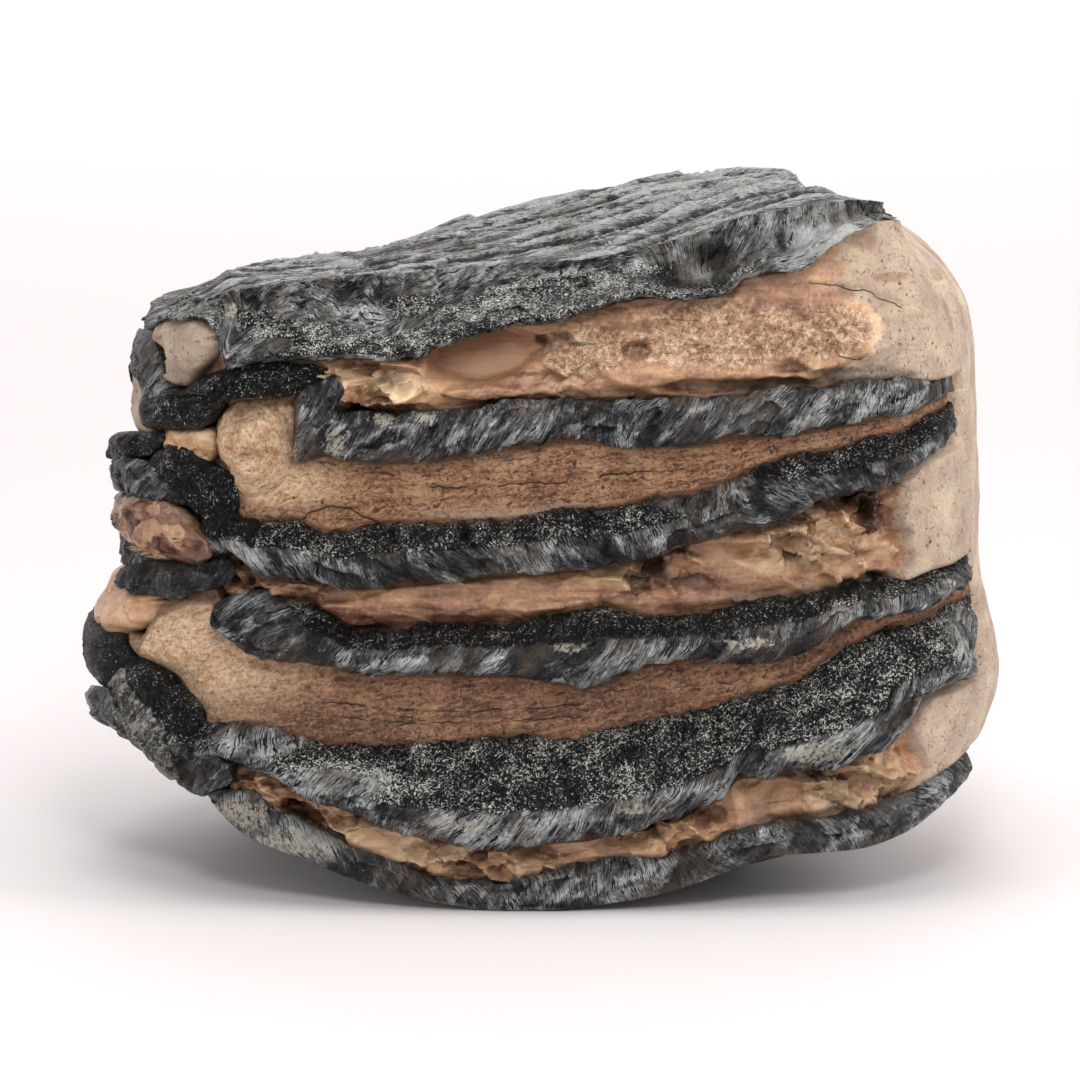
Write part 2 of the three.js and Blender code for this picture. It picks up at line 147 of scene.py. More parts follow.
# a point of the side: the outline, less the insets weighed by which way it faces, plus an
# offset straight out
def onSide(tape, z, offset):
    x, y, outX, outY = onOutline(tape)
    side = np.where(outX > 0, drawIn["Right"](z), drawIn["Left"](z))
    face = np.where(outY > 0, drawIn["Back"](z), drawIn["Front"](z))
    out = offset - side * outX ** 2 - face * outY ** 2
    return np.stack([x + outX * out, y + outY * out, z + 0 * out], axis=-1)


# tape mark on the front whose point lies at x, found by halving
def tapeAtX(x, z):
    low, high = [np.full_like(z, way * block["frontReach"]) for way in (-1, 1)]
    for step in range(30):
        trial = (low + high) / 2
        short = onSide(trial, z, 0.0)[..., 0] < x
        low, high = np.where(short, trial, low), np.where(short, high, trial)
    return (low + high) / 2


tilt = math.radians(block["sightTilt"])


# front places (x, height square to the sight line) to (tape, z): the height is z times the
# tilt's cosine plus y times its sine, so z is worked out again from each new y
def onFront(places):
    x, height = np.array(places, float).T
    z = height / math.cos(tilt)
    for step in range(5):
        tape = tapeAtX(x, z)
        z = (height - onSide(tape, z, 0.0)[..., 1] * math.sin(tilt)) / math.cos(tilt)
    return np.stack([tape, np.maximum(z, 0)], axis=-1)


# the same read from the sight distance, where a place further back looks smaller by its
# depth over that distance
def fromCamera(places, offset):
    x, height = np.array(places, float).T
    distance, aimHeight = block["sightDistance"], block["sightHeight"]
    seenX, z, aimZ = x, height / math.cos(tilt), aimHeight / math.cos(tilt)
    for step in range(8):
        tape = tapeAtX(seenX, z)
        y = onSide(tape, z, offset)[..., 1]
        depth = (distance + y * math.cos(tilt) - (z - aimZ) * math.sin(tilt)) / distance
        seenX = x * depth
        z = aimZ + ((height - aimHeight) * depth - y * math.sin(tilt)) / math.cos(tilt)
    return np.stack([tape, np.maximum(z, 0)], axis=-1)


# heights of the band edges: front as (x, height), round as z at the tape marks behind
roundTape = (66, 95, 128, -92, -66)
bandEdges = {
    "bottomLow": {
        "front": [(-34, 12), (-29, 7.2), (-24, 5.3), (-19, 3.3), (-14, 1.7), (-9, 0.7), (-4, 0.1),
                  (1, 0.1), (6, 0.7), (11, 1.5), (16, 3), (19.2, 4.2), (24, 5.7), (32, 6.3),
                  (36.5, 7.7), (39, 9.3), (41, 11.3)],
        "round": (13, 10, 5, 9, 13)},
    "bottomHigh": {
        "front": [(-34, 12.8), (-29.5, 12), (-27, 10.3), (-24, 9), (-18, 6), (-14, 4.7), (-8, 3),
                  (-4, 2.8), (-1, 3.5), (2, 4.3), (6, 5.3), (11, 5.7), (16, 6.5), (20, 8.3), (24, 9),
                  (29, 9.5), (33, 10.3), (36, 11.3), (39, 13), (41.5, 14.3)],
        "round": (16, 13, 8.5, 12.5, 16)},
    "lowUnder": {
        "front": [(-35.5, 14.7), (-31.5, 15), (-28, 13.7), (-24, 11.5), (-20, 10), (-16, 8.3),
                  (-12, 7.2), (-8, 6.3), (-4, 5.9), (-1, 6.3), (6, 7), (11, 8.3), (16, 10),
                  (18.5, 11.5), (20, 13.3), (24, 13.5), (28, 13.7), (31, 14.5), (34, 15.7),
                  (35.5, 17), (36.5, 19), (37.5, 21.5), (39.5, 21.8), (41.5, 22.5)],
        "round": (22, 20, 14, 17, 19)},
    "lowDentineLow": {
        "front": [(-40.5, 25), (-37.8, 23.6), (-34.2, 18.7), (-29, 18.8), (-26.5, 18), (-19, 16.7),
                  (-9, 17), (-2, 17.7), (0.5, 17.3), (3, 17), (6, 18), (14, 19.7), (22, 22),
                  (26, 23.3), (28, 24.7), (29.5, 26), (33, 27.2), (36, 28.7), (38.5, 29.4),
                  (41, 30.8)],
        "round": (29.5, 27, 20, 22, 22.5)},
    "lowDentineHigh": {
        "front": [(-40.5, 26.3), (-38, 30), (-34, 31.2), (-32.5, 29), (-31.5, 28), (-30, 26.5),
                  (-28, 25.5), (-24, 25.2), (-17, 23.8), (-6, 23.7), (-1, 23.5), (2, 22.8),
                  (4.5, 22.7), (7, 23.1), (10, 24.5), (14, 25), (22, 25.2), (25.5, 25.7),
                  (27.5, 27), (30, 28.3), (32, 29.3), (36, 30), (39, 30.8), (41, 32.3)],
        "round": (31, 31, 26, 28, 29.5)},
    "lowOver": {
        "front": [(-40.5, 31), (-36, 31.8), (-34, 32.3), (-31.5, 31.2), (-29.5, 31.8), (-27, 31.5),
                  (-23, 30.7), (-21, 29.5), (-19, 28.3), (-16.5, 28.2), (-14, 28.5), (-4, 28.7),
                  (1, 29.8), (6, 30.7), (8, 30), (12, 29.5), (16, 30), (20, 31), (26, 31.8),
                  (31, 32.5), (34, 33), (37, 33.5), (39.5, 34.5), (42, 35.3)],
        "round": (35, 35, 30, 31, 32)},
    "highUnder": {
        "front": [(-41, 36), (-34, 35.5), (-31, 36), (-28, 33.5), (-24, 32.7), (-19, 32.3),
                  (-14, 32.5), (-4, 33.5), (1, 33.8), (6, 34.3), (11, 35.2), (16, 37), (20, 38),
                  (24, 38.7), (28, 41), (31, 41.8), (34, 42.5), (37.5, 44.2), (38.5, 45.3),
                  (40.5, 46.3)],
        "round": (47, 44, 36.5, 36, 36)},
    "highDentineLow": {
        "front": [(-41, 39), (-34, 38.5), (-31, 39), (-28, 39.2), (-25, 39.5), (-22, 38.3),
                  (-19.5, 38.2), (-16.5, 39), (-6, 39.2), (0, 39.8), (3, 40.5), (8, 40.7),
                  (12, 41.8), (16, 42.2), (19, 43.5), (23, 45.2), (26, 46), (30, 46.5), (33, 47.5),
                  (36, 48.2), (37.5, 48.9), (39, 49.9), (41, 50.6)],
        "round": (51, 48, 41, 39.5, 40)},
    "highDentineHigh": {
        "front": [(-41, 44), (-34, 45), (-30, 44.5), (-24, 45.2), (-21.5, 45.8), (-20, 45.2),
                  (-16, 45), (-11, 45.2), (-7, 45.7), (-4, 46.3), (0, 46.7), (2, 47.2), (5, 47),
                  (10, 46.5), (16, 46.8), (19, 47.5), (24, 47.7), (29, 48.5), (34, 49.5), (37, 50.2),
                  (39, 51.2), (41, 51.9)],
        "round": (52, 51, 46, 45, 45.5)},
    "highOver": {
        "front": [(-41, 48), (-34, 50.5), (-28, 51.5), (-23.5, 51.8), (-21.5, 50.7), (-19, 50.3),
                  (-10, 50.3), (-7, 50.5), (-4, 51.3), (2, 51.5), (16, 51.5), (20, 52), (24, 52.7),
                  (28, 52.7), (31, 53.5), (36, 53.7), (40, 53.7)],
        "round": (55, 55, 50, 49, 48.5)},
    "topLow": {
        "front": [(-41, 58.6), (-37.5, 60), (-33, 59.5), (-31.5, 57.5), (-30.5, 55), (-24, 55.3),
                  (-14, 55.5), (-12, 55.8), (-10, 56.7), (-6, 57.8), (-2, 58.9), (2, 59.5),
                  (6, 60.5), (10, 61.5), (14, 61.7), (18, 61.8), (19.2, 62.5), (20.5, 63.5),
                  (24, 64.3), (26.8, 65.2), (28.6, 66.6), (30, 67.6), (31, 68.3), (34, 69.4), (36, 69.9)],
        "round": (65, 62, 58, 55.5, 57.5)},
    "crest": {
        "front": [(-35.8, 61.8), (-31.5, 62.3), (-24, 62.6), (-14, 63.2), (-6, 63.9),
                  (2, 64.5), (8, 65.3), (15, 67.1), (22, 69.3), (31, 70.8), (36, 71.1)],
        "round": (68.5, 66.8, 64, 59, 60.8)},
}


# curve of an edge round the whole tape: the front's knots, then those of the round that lie
# clear of them, with one lapped over at each end
def edgeCurve(edge, clear=3.0):
    knots = [tuple(k) for k in onFront(edge["front"])]
    first, last = knots[0][0] - clear, knots[-1][0] + clear
    knots += [(m, z) for m, z in zip(roundTape, edge["round"]) if m > last or m < first]
    knots.sort()
    before = (knots[-1][0] - tapeLength, knots[-1][1])
    after = (knots[0][0] + tapeLength, knots[0][1])
    return curveThrough([before, *knots, after])


edges = {name: edgeCurve(edge) for name, edge in bandEdges.items()}
print("tape", round(tapeLength, 1), "mm, edges", len(edges))


# repeatable number from 0 to 1 for each whole-number place
def hashed(i, j, k, seed):
    n = (i * 374761393 + j * 668265263 + k * 1274126177 + seed * 974634777) & 0xffffffff
    n = ((n ^ (n >> 13)) * 1103515245) & 0xffffffff
    n = ((n ^ (n >> 16)) * 668265263) & 0xffffffff
    return ((n ^ (n >> 15)) & 0xffffff) / 16777216.0


# noise from -1 to 1: hashed values at whole places, blended with an eased step between them
def spaceNoise(points, size, seed):
    p = points / size
    low = np.floor(p).astype(np.int64)
    f = eased(p - low)
    total = 0.0
    for corner in np.ndindex(2, 2, 2):
        weight = np.where(corner, f, 1 - f).prod(-1)
        total = total + weight * hashed(*np.moveaxis(low + corner, -1, 0), seed)
    return 2 * total - 1


# places in cells: how many cells make one turn, the place and the cell in each parameter
def cellPlace(u, v, sizeU, sizeV, turn):
    count = round(turn / sizeU) if turn else 0
    pu, pv = u * (count / turn if turn else 1 / sizeU), v / sizeV
    return count, pu, pv, np.floor(pu).astype(np.int64), np.floor(pv).astype(np.int64)


# the same noise in two parameters; with a turn it repeats after that length, so it has no seam
def faceNoise(u, v, sizeU, sizeV, seed, turn=0.0):
    count, pu, pv, i, j = cellPlace(u, v, sizeU, sizeV, turn)
    fu, fv = eased(pu - i), eased(pv - j)
    total = 0.0
    for du, dv in np.ndindex(2, 2):
        column = (i + du) % count if count else i + du
        weight = np.where(du, fu, 1 - fu) * np.where(dv, fv, 1 - fv)
        total = total + weight * hashed(column, j + dv, 0 * j, seed)
    return 2 * total - 1


# the same, repeating after the whole tape
def tapeNoise(tape, v, sizeU, sizeV, seed):
    return faceNoise(tape, v, sizeU, sizeV, seed, tapeLength)


# sum of tape noises along a line, as (height, length, seed)
def raggedLine(tape, *waves):
    return sum(height * tapeNoise(tape, 0 * tape, length, 1, seed) for height, length, seed in waves)


# scattered cells: for each place the distance to the nearest scattered point, the distance
# to the next, the step from the nearest, and that point's own two hashed numbers
def scattered(u, v, sizeU, sizeV, seed, turn=0.0):
    count, pu, pv, i, j = cellPlace(u, v, sizeU, sizeV, turn)
    near = np.full(np.broadcast(pu, pv).shape, farAway)
    second = near.copy()
    stepU, stepV, ownA, ownB = [np.zeros_like(near) for n in range(4)]
    for di, dj in np.ndindex(3, 3):
        ci, cj = i + di - 1, j + dj - 1
        column = ci % count if count else ci
        own = [hashed(column, cj, 0 * cj + n, seed) for n in (1, 2, 3, 4)]
        du, dv = pu - (ci + 0.15 + 0.7 * own[0]), pv - (cj + 0.15 + 0.7 * own[1])
        gap = np.hypot(du, dv)
        closer = gap < near
        second = np.where(closer, near, np.minimum(second, gap))
        near, stepU, stepV, ownA, ownB = [
            np.where(closer, new, old) for new, old in
            ((gap, near), (du, stepU), (dv, stepV), (own[2], ownA), (own[3], ownB))]
    return near, second, stepU, stepV, ownA, ownB


# broken shards: each cell is a facet that leans its own way, plus its own height, hollowed by
# the square of the distance to its middle so that facets meet in sharp ridges; with them how
# high the facet stands, from 0 to 1, and the gap in cells to its border
def shards(u, v, sizeU, sizeV, seed, turn=0.0, scoop=0.0):
    near, second, du, dv, a, b = scattered(u, v, sizeU, sizeV, seed, turn)
    plane = 2.4 * ((a - 0.5) * du + (b - 0.5) * dv) + 0.6 * (a + b - 1) + scoop * (near * near - 0.2)
    return plane, 0.5 * (a + b), second - near


# granules: small domes packed side by side, each lower by the square of the distance out
def granules(u, v, size, seed, turn=0.0):
    return 1 - np.minimum(scattered(u, v, size, size, seed, turn)[0], 1) ** 2 * 1.6


# distance from each place to the nearest of some lines of (tape, z) points
def lineGap(tape, z, lines):
    gap = np.full(np.broadcast(tape, z).shape, farAway)
    for line in lines:
        for (t0, z0), (t1, z1) in zip(line[:-1], line[1:]):
            dt, dz = t1 - t0, z1 - z0
            s = np.clip(((tape - t0) * dt + (z - z0) * dz) / (dt * dt + dz * dz), 0, 1)
            gap = np.minimum(gap, np.hypot(tape - t0 - s * dt, z - z0 - s * dz))
    return gap


# how far each place stands above the nearest of some level lines, in units of the line's own
# half width: it changes sign across the line, so the line stays thin between mesh rows
def lineSide(tape, z, lines, halfWidth):
    nearest = np.full(np.broadcast(tape, z).shape, farAway)
    for line in lines:
        t, height = np.array(line, float).T
        above = z - np.interp(tape, t, height)
        above = above + farAway * np.sign(above) * ((tape < t[0]) | (tape > t[-1]))
        nearest = np.where(np.abs(above) < np.abs(nearest), above, nearest)
    return np.clip(nearest / halfWidth, -noCrack, noCrack)


# spot: 1 at (tape, z), falling to 0 at its half sizes
def spot(tape, z, place):
    t0, z0, halfT, halfZ = place
    return smooth(1, 0.35, np.hypot((tape - t0) / halfT, (z - z0) / halfZ))


# start plus a sum of spots, each times its fifth number where it has one
def spots(tape, z, places, start=0.0):
    total = start + 0 * z
    for t0, z0, halfT, halfZ, *weight in places:
        total = total + (weight[0] if weight else 1) * spot(tape, z, (t0, z0, halfT, halfZ))
    return total


# rows between two edges: their share of the way up, the height there, z and the rise over low
def rowsBetween(low, high, rows, leastHeight, first=0.0):
    share = np.linspace(first, 1, rows)[:, None]
    height = np.maximum(high - low, leastHeight)
    return share, height, low + share * height, share * height


# tape marks of the columns, close across the front and wider round the rest, seam at the back
def tapeColumns(fine=1.0):
    half = tapeLength / 2
    marks = [-half, block["fineFrom"], block["fineTo"], half]
    steps = [block["coarseStep"], block["fineStep"] * fine, block["coarseStep"]]
    return np.concatenate([np.linspace(a, b, int((b - a) / s), endpoint=False)
                           for a, b, s in zip(marks[:-1], marks[1:], steps)])[None, :]


# share of the smooth wall that covers a band: it rises over a run from its start, and falls
# again where the wall ends
def wallCover(tape, start, run=4.0):
    end = block["wallEnd"]
    return smooth(start, start + run, tape) * (1 - smooth(end - 6, end + 2, tape))


# share of the broken left end, rising from start to full and falling again behind
def leftEnd(tape, start=-32, full=-44):
    return smooth(start, full, tape) * (1 - smooth(-86, -100, tape))


# top face: a climb to the right between a front crest and a back rim, domed, with long
# waves whose near side is steep, like overlapping scales
topFace = {
    "front": [(-44, 60.8), (-36, 61.6), (-29, 61.9), (-14, 62.9), (2, 64.2), (15, 67.1),
              (22, 69.3), (31, 70.6), (40, 70.2)],
    "back": [(-44, 58.2), (-35, 59.4), (-30, 58.9), (-19, 59.6), (-14, 61.4), (-7, 63.8), (0, 65.3),
             (6, 66.7), (16, 68.3), (24, 69), (32, 68.6), (42, 66.5)],
    "turn": 17.0,                # degrees from +X that the waves run
    "wander": [(3.6, 13, 8, 51), (1.3, 5, 3, 52)],    # rise, lengths and seed of each noise
    "wave": 5.4,
    "steep": 0.16,               # share of a wave that its near side takes
    "height": 1.55,
    "dome": 1.2,
}
topFront, topBack = curveThrough(topFace["front"]), curveThrough(topFace["back"])


# the front crest turned into the back rim by depth, plus half a sine of the dome's height
def topLevel(x, y):
    level = mix(topFront(x), topBack(x), np.clip((y - 6) / 44, 0, 1))
    return level + topFace["dome"] * np.sin(math.pi * np.clip(y / 56, 0, 1))


# waves: a saw tooth across them that is steep for its first part, its phase wandering with
# noise; with it the places along and across the waves
def topWaves(x, y):
    turn = math.radians(topFace["turn"])
    across = y * math.cos(turn) - x * math.sin(turn)
    along = x * math.cos(turn) + y * math.sin(turn)
    wander = sum(rise * faceNoise(along, across, *noiseAt) for rise, *noiseAt in topFace["wander"])
    phase = np.mod((across + wander) / topFace["wave"], 1)
    scale = np.minimum(phase / topFace["steep"], (1 - phase) / (1 - topFace["steep"]))
    height = topFace["height"] * (0.65 + 0.6 * faceNoise(along, across, 11, 6, 53))
    return height * (scale - 0.5), along, across


# mesh from a grid of points, rows by columns: columns wrap round, and rows either wrap
# into a tube or close on a pole at each end
def gridMesh(name, points, uv, attributes, poles=None):
    rows, columns = points.shape[:2]
    verts = points.reshape(-1, 3)
    i = np.arange(rows if poles is None else rows - 1)[:, None]
    j = np.arange(columns)[None, :]
    nextI, nextJ = (i + 1) % rows, (j + 1) % columns
    quads = np.stack([a * columns + b for a, b in ((i, j), (i, nextJ), (nextI, nextJ), (nextI, j))],
                     axis=-1).reshape(-1, 4)
    # past the seam u goes on by one more column
    uBeyond = uv[:, :1, 0] + uv[0, -1, 0] * 2 - uv[0, -2, 0] - uv[0, 0, 0]
    uNext = np.concatenate([uv[:, 1:, 0], uBeyond], axis=1)
    uAt = np.stack([uv[i, j, 0], uNext[i, j], uNext[nextI, j], uv[nextI, j, 0]], axis=-1)
    vAt = np.stack([uv[i, j, 1], uv[i, nextJ, 1], uv[nextI, nextJ, 1], uv[nextI, j, 1]], axis=-1)
    cornerUv = np.stack([uAt, vAt], axis=-1).reshape(-1, 2)
    tris = np.zeros((0, 3), int)
    if poles is not None:
        low = np.arange(columns)
        lowNext, high = (low + 1) % columns, (rows - 1) * columns
        tris = np.concatenate([np.stack([0 * low + len(verts), lowNext, low], 1),
                               np.stack([0 * low + len(verts) + 1, high + low, high + lowNext], 1)])
        verts = np.concatenate([verts, poles])
        flat = np.concatenate([uv.reshape(-1, 2), uv[[0, -1], 0]])
        cornerUv = np.concatenate([cornerUv, flat[tris.ravel()]])
    mesh = bpy.data.meshes.new(name)
    mesh.vertices.add(len(verts))
    metres = (verts + np.array([*block["shift"], 0.0])) * mm
    mesh.vertices.foreach_set("co", metres.astype(np.float32).ravel())
    corners = np.concatenate([quads.ravel(), tris.ravel()])
    sizes = np.concatenate([np.full(len(quads), 4), np.full(len(tris), 3)])
    mesh.loops.add(len(corners))
    mesh.loops.foreach_set("vertex_index", corners.astype(np.int32))
    mesh.polygons.add(len(sizes))
    mesh.polygons.foreach_set("loop_start", (np.cumsum(sizes) - sizes).astype(np.int32))
    mesh.update(calc_edges=True)
    mesh.validate()
    mesh.polygons.foreach_set("use_smooth", np.ones(len(sizes), bool))
    layer = mesh.uv_layers.new(name="bandMap")
    layer.data.foreach_set("uv", cornerUv.astype(np.float32).ravel())
    for key, values in attributes.items():
        flat = np.broadcast_to(values, points.shape[:2]).ravel()
        if poles is not None:
            flat = np.concatenate([flat, [flat[0], flat[-1]]])
        mesh.attributes.new(key, "FLOAT", "POINT").data.foreach_set("value", flat.astype(np.float32))
    return mesh


# every piece rides the root and stands in for the one solid
def addPiece(name, mesh, material):
    piece = bpy.data.objects.new(name, mesh)
    bpy.context.scene.collection.objects.link(piece)
    mesh.materials.append(material)
    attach(piece, "root")
    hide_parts("molar")
    print(name, len(mesh.loops) - 2 * len(mesh.polygons), "triangles")


# band closed behind into a ring: a buried row below it and one above; v is the height above
# the base plus a start of its own
def addRing(name, tape, heights, offset, depth, attributes, material, base=0.0, start=0.0):
    z = np.concatenate(heights)
    behind = 0 * tape + depth
    points = onSide(tape + 0 * z, z, np.concatenate([behind, offset, behind]))
    uv = np.stack([tape + 0 * z, z - base + start], axis=-1)
    padded = {key: np.concatenate([a[:1], a, a[-1:]]) for key, a in attributes.items()}
    addPiece(name, gridMesh(name, points, uv, padded), material)


# sRGB hex to linear light: a straight line for the darkest, else the power 2.4
def linear(hexColour):
    parts = [int(hexColour[i:i + 2], 16) / 255 for i in (1, 3, 5)]
    return (*[c / 12.92 if c <= 0.04045 else ((c + 0.055) / 1.055) ** 2.4 for c in parts], 1.0)


# one shader node: settings by name, inputs as values or links, and stops for a ramp
def add(tree, kind, inputs=None, stops=None, **settings):
    node = tree.nodes.new("ShaderNode" + kind)
    for key, value in settings.items():
        setattr(node, key, value)
    if stops:
        points = node.color_ramp.elements
        while len(points) < len(stops):
            points.new(0.5)
        for point, (place, colour) in zip(points, stops):
            point.position = place
            point.color = linear(colour)
    for key, value in (inputs or {}).items():
        if isinstance(value, bpy.types.NodeSocket):
            tree.links.new(value, node.inputs[key])
        else:
            node.inputs[key].default_value = value
    return node


# empty material whose one shader gives its surface
def newMaterial(name):
    material = bpy.data.materials.new(name)
    material.use_nodes = True
    tree = material.node_tree
    tree.nodes.clear()
    shader = add(tree, "BsdfPrincipled")
    add(tree, "OutputMaterial", {"Surface": shader.outputs[0]})
    return material, tree, shader


# colour, index of refraction, and roughness from low to high as a share goes over its range
def finish(tree, shader, colour, index, share, low, high, span=(0.0, 1.0)):
    rough = add(tree, "MapRange", {0: share, 1: span[0], 2: span[1], 3: low, 4: high})
    tree.links.new(colour, shader.inputs["Base Color"])
    tree.links.new(rough.outputs[0], shader.inputs["Roughness"])
    shader.inputs["IOR"].default_value = index


# place in millimetres on the piece, and the band map, u along the tape and v up, in millimetres
def placeNodes(tree):
    coords = add(tree, "TexCoord")
    place = add(tree, "VectorMath", {0: coords.outputs["Object"], "Scale": 1 / mm}, operation="SCALE")
    band = add(tree, "UVMap", uv_map="bandMap")
    return place.outputs[0], band.outputs[0]


# values that the mesh carries at its points, by name
def attributeNodes(tree, *names):
    return [add(tree, "Attribute", attribute_name=name).outputs["Fac"] for name in names]


# noise per millimetre of place, or per size of a drawn place
def noise(tree, at, scale, detail=2.0, rough=0.5, bend=0.0):
    return add(tree, "TexNoise", {"Vector": at, "Scale": scale, "Detail": detail, "Roughness": rough,
                                  "Distortion": bend}).outputs["Fac"]


# one sum of two or three values, named as the math node names it
def calc(tree, kind, *values):
    return add(tree, "Math", dict(enumerate(values)), operation=kind).outputs[0]


# largest of some values
def most(tree, first, *others):
    for value in others:
        first = calc(tree, "MAXIMUM", first, value)
    return first


# weighed sum of (value, weight) pairs
def weighed(tree, *pairs):
    total = 0.0
    for value, weight in pairs:
        total = calc(tree, "MULTIPLY_ADD", value, weight, total)
    return total


# eased range: 0 at low, 1 at high, or the other way round, times an amount
def ranged(tree, value, low, high, amount=1.0):
    return add(tree, "MapRange", {0: value, 1: low, 2: high, 4: amount},
               interpolation_type="SMOOTHSTEP").outputs[0]


# first tone where the share is 0, second where it is 1
def blend(tree, share, first, second):
    tones = [linear(tone) if isinstance(tone, str) else tone for tone in (first, second)]
    return add(tree, "Mix", {"Factor": share, 6: tones[0], 7: tones[1]}, data_type="RGBA").outputs[2]


# ramp over stops of (place, name of a look's colour)
def ramp(tree, value, look, *stops):
    stops = [(place, look[tone]) for place, tone in stops]
    return add(tree, "ValToRGB", {"Fac": value}, stops=stops).outputs["Color"]


# places turned by (x, y, z) radians and measured in units of a size in millimetres
def drawn(tree, at, size, turn=(0, 0, 0)):
    return add(tree, "Mapping", {"Vector": at, "Rotation": turn, "Scale": size},
               vector_type="TEXTURE").outputs[0]


# thin lines where a noise crosses its middle value
def contour(tree, value, width):
    gap = calc(tree, "ABSOLUTE", calc(tree, "SUBTRACT", value, 0.5))
    return ranged(tree, gap, width, width * 0.3)


# a crack's attribute counts half widths from its middle, and the line is soft at its edge
def crackShade(tree, crack):
    return ranged(tree, calc(tree, "ABSOLUTE", crack), 1.1, 0.7)


# bump nodes laid one on another, as (height, millimetres, strength)
def bumps(tree, shader, *layers):
    normal = {}
    for height, rise, strength in layers:
        node = add(tree, "Bump", {"Height": height, "Distance": abs(rise) * mm, "Strength": strength,
                                  **normal}, invert=rise < 0)
        normal = {"Normal": node.outputs[0]}
    tree.links.new(node.outputs[0], shader.inputs["Normal"])


# flat broken facets: over each cell the height is a plane leaning by the cell's own numbers; the tone is the
# first of them, so besides its own tone a facet is painted lighter or darker by the way it leans
def facets(tree, at, scale):
    cell = add(tree, "TexVoronoi", {"Vector": at, "Scale": scale}).outputs
    away = add(tree, "VectorMath", {0: at, 1: cell["Position"]}, operation="SUBTRACT").outputs[0]
    lean = add(tree, "VectorMath", {0: cell["Color"], 1: (0.5, 0.5, 0.5)}, operation="SUBTRACT")
    plane = add(tree, "VectorMath", {0: away, 1: lean.outputs[0]}, operation="DOT_PRODUCT")
    tone = add(tree, "SeparateColor", {0: cell["Color"]}).outputs[0]
    return plane.outputs["Value"], tone


# Enamel: hard mineral broken across its prisms. The eye gets a near-black blue-grey with
# silky slanting strands, pale flecks, and a sugary black grain where dentine has come away.
enamelLook = {
    "dark": "#08090B", "body": "#1D1F22", "mid": "#494B4E", "sheen": "#7F8283", "silk": "#D6D7D4",
    "warm": "#6A5949", "pale": "#D2CCBC", "stain": "#6E4A34",
    "grain": "#07080A", "soot": "#3A3A3A", "dull": "#82817D", "crystal": "#EDEBE2",
    "strand": (0.16, 1.6, 1),     # mm across one strand and along it
    "tuft": (0.9, 3.2, 1),        # and the same of a tuft of strands
    "sway": 7.0,                  # mm the strands swing from side to side
    "wiggle": 0.5,                # and tremble
    "crystalSize": (0.42, 0.15, 0.13),    # mm, length and thickness of a crystal
    "crystalTurns": [(0.3, 0.35, 0.2), (0.1, 1.5, 0.4), (-0.4, -0.75, 0.1)],
}


# strands are noise drawn out along their slant; a ramp turns their sum into silk, and warm
# patches, flecks, the sugary grain and the stain are laid over it in turn
def enamelMaterial(name, slant, look=enamelLook):
    material, tree, shader = newMaterial(name)
    place, band = placeNodes(tree)
    grain, reliefShading, pale, stain = attributeNodes(tree, "grain", "reliefShading", "pale", "stain")
    parts = add(tree, "SeparateXYZ", {0: band}).outputs
    shear = weighed(tree, (noise(tree, place, 0.11, 0.0), look["sway"]),
                    (noise(tree, place, 0.8, 1.0), look["wiggle"]), (parts["Y"], slant))
    across = calc(tree, "SUBTRACT", parts["X"], shear)
    strandAt = add(tree, "CombineXYZ", {"X": across, "Y": parts["Y"]}).outputs[0]
    strand = noise(tree, drawn(tree, strandAt, look["strand"]), 1.0, 2.0, 0.6)
    tuft = noise(tree, drawn(tree, strandAt, look["tuft"]), 1.0, 3.0, 0.65, 0.3)
    patch = noise(tree, place, 0.33, 4.0, 0.62)
    speck = noise(tree, place, 2.4, 4.0, 0.75, 0.4)
    hair = contour(tree, strand, 0.07)
    # silk runs about a middle of 1.4; its relief share is painted light on high places and painted shade in
    # low ones
    silk = weighed(tree, (tuft, 0.6), (patch, 0.6), (reliefShading, 0.3), (strand, 0.85), (speck, 0.4), (hair, 0.2))
    # the sheen and silk stops are the strands' pale colour and also their painted sheen
    silky = ramp(tree, calc(tree, "SUBTRACT", silk, 0.90), look, (0.42, "dark"), (0.51, "body"),
                 (0.60, "mid"), (0.69, "sheen"), (0.84, "silk"))
    warmth = ranged(tree, noise(tree, place, 0.21, 3.0, 0.6), 0.48, 0.64, 0.9)
    silky = blend(tree, calc(tree, "MULTIPLY", warmth, tuft), silky, look["warm"])
    # pale flecks, thick in the pale patches and a few elsewhere
    fleck = weighed(tree, (speck, 1.1), (tuft, 0.4), (pale, 0.27), (strand, 0.3), (patch, 0.2))
    flecked = blend(tree, ranged(tree, fleck, 1.15, 1.32, 0.9), silky, look["pale"])
    # grain: short thin crystals that lie three ways, like sugar on black, about a middle of 1.05
    needle = most(tree, *[noise(tree, drawn(tree, place, look["crystalSize"], turn), 1.0, 1.0)
                          for turn in look["crystalTurns"]])
    sugar = weighed(tree, (needle, 1.0), (speck, 0.35), (patch, 0.3), (reliefShading, 0.25))
    sugary = ramp(tree, calc(tree, "SUBTRACT", sugar, 0.5), look, (0.59, "grain"), (0.63, "soot"),
                  (0.66, "dull"), (0.71, "crystal"))
    grainShare = ranged(tree, weighed(tree, (speck, 1.2), (grain, 1.0)), 0.95, 1.3)
    withGrain = blend(tree, grainShare, flecked, sugary)
    stainShare = ranged(tree, calc(tree, "MULTIPLY", stain, speck), 0.28, 0.45, 0.8)
    stained = blend(tree, stainShare, withGrain, look["stain"])
    finish(tree, shader, stained, 1.5, strand, 0.20, 0.44, (0.35, 0.65))
    sheen = add(tree, "MapRange", {0: grainShare, 3: 0.5, 4: 0.25})
    tree.links.new(sheen.outputs[0], shader.inputs["Specular IOR Level"])
    bumps(tree, shader, (facets(tree, place, 0.9)[0], 0.7, 0.8), (silk, 0.7, 0.9),
          (calc(tree, "MULTIPLY", sugar, grainShare), 0.5, 0.9), (speck, 0.35, 0.8))
    return material
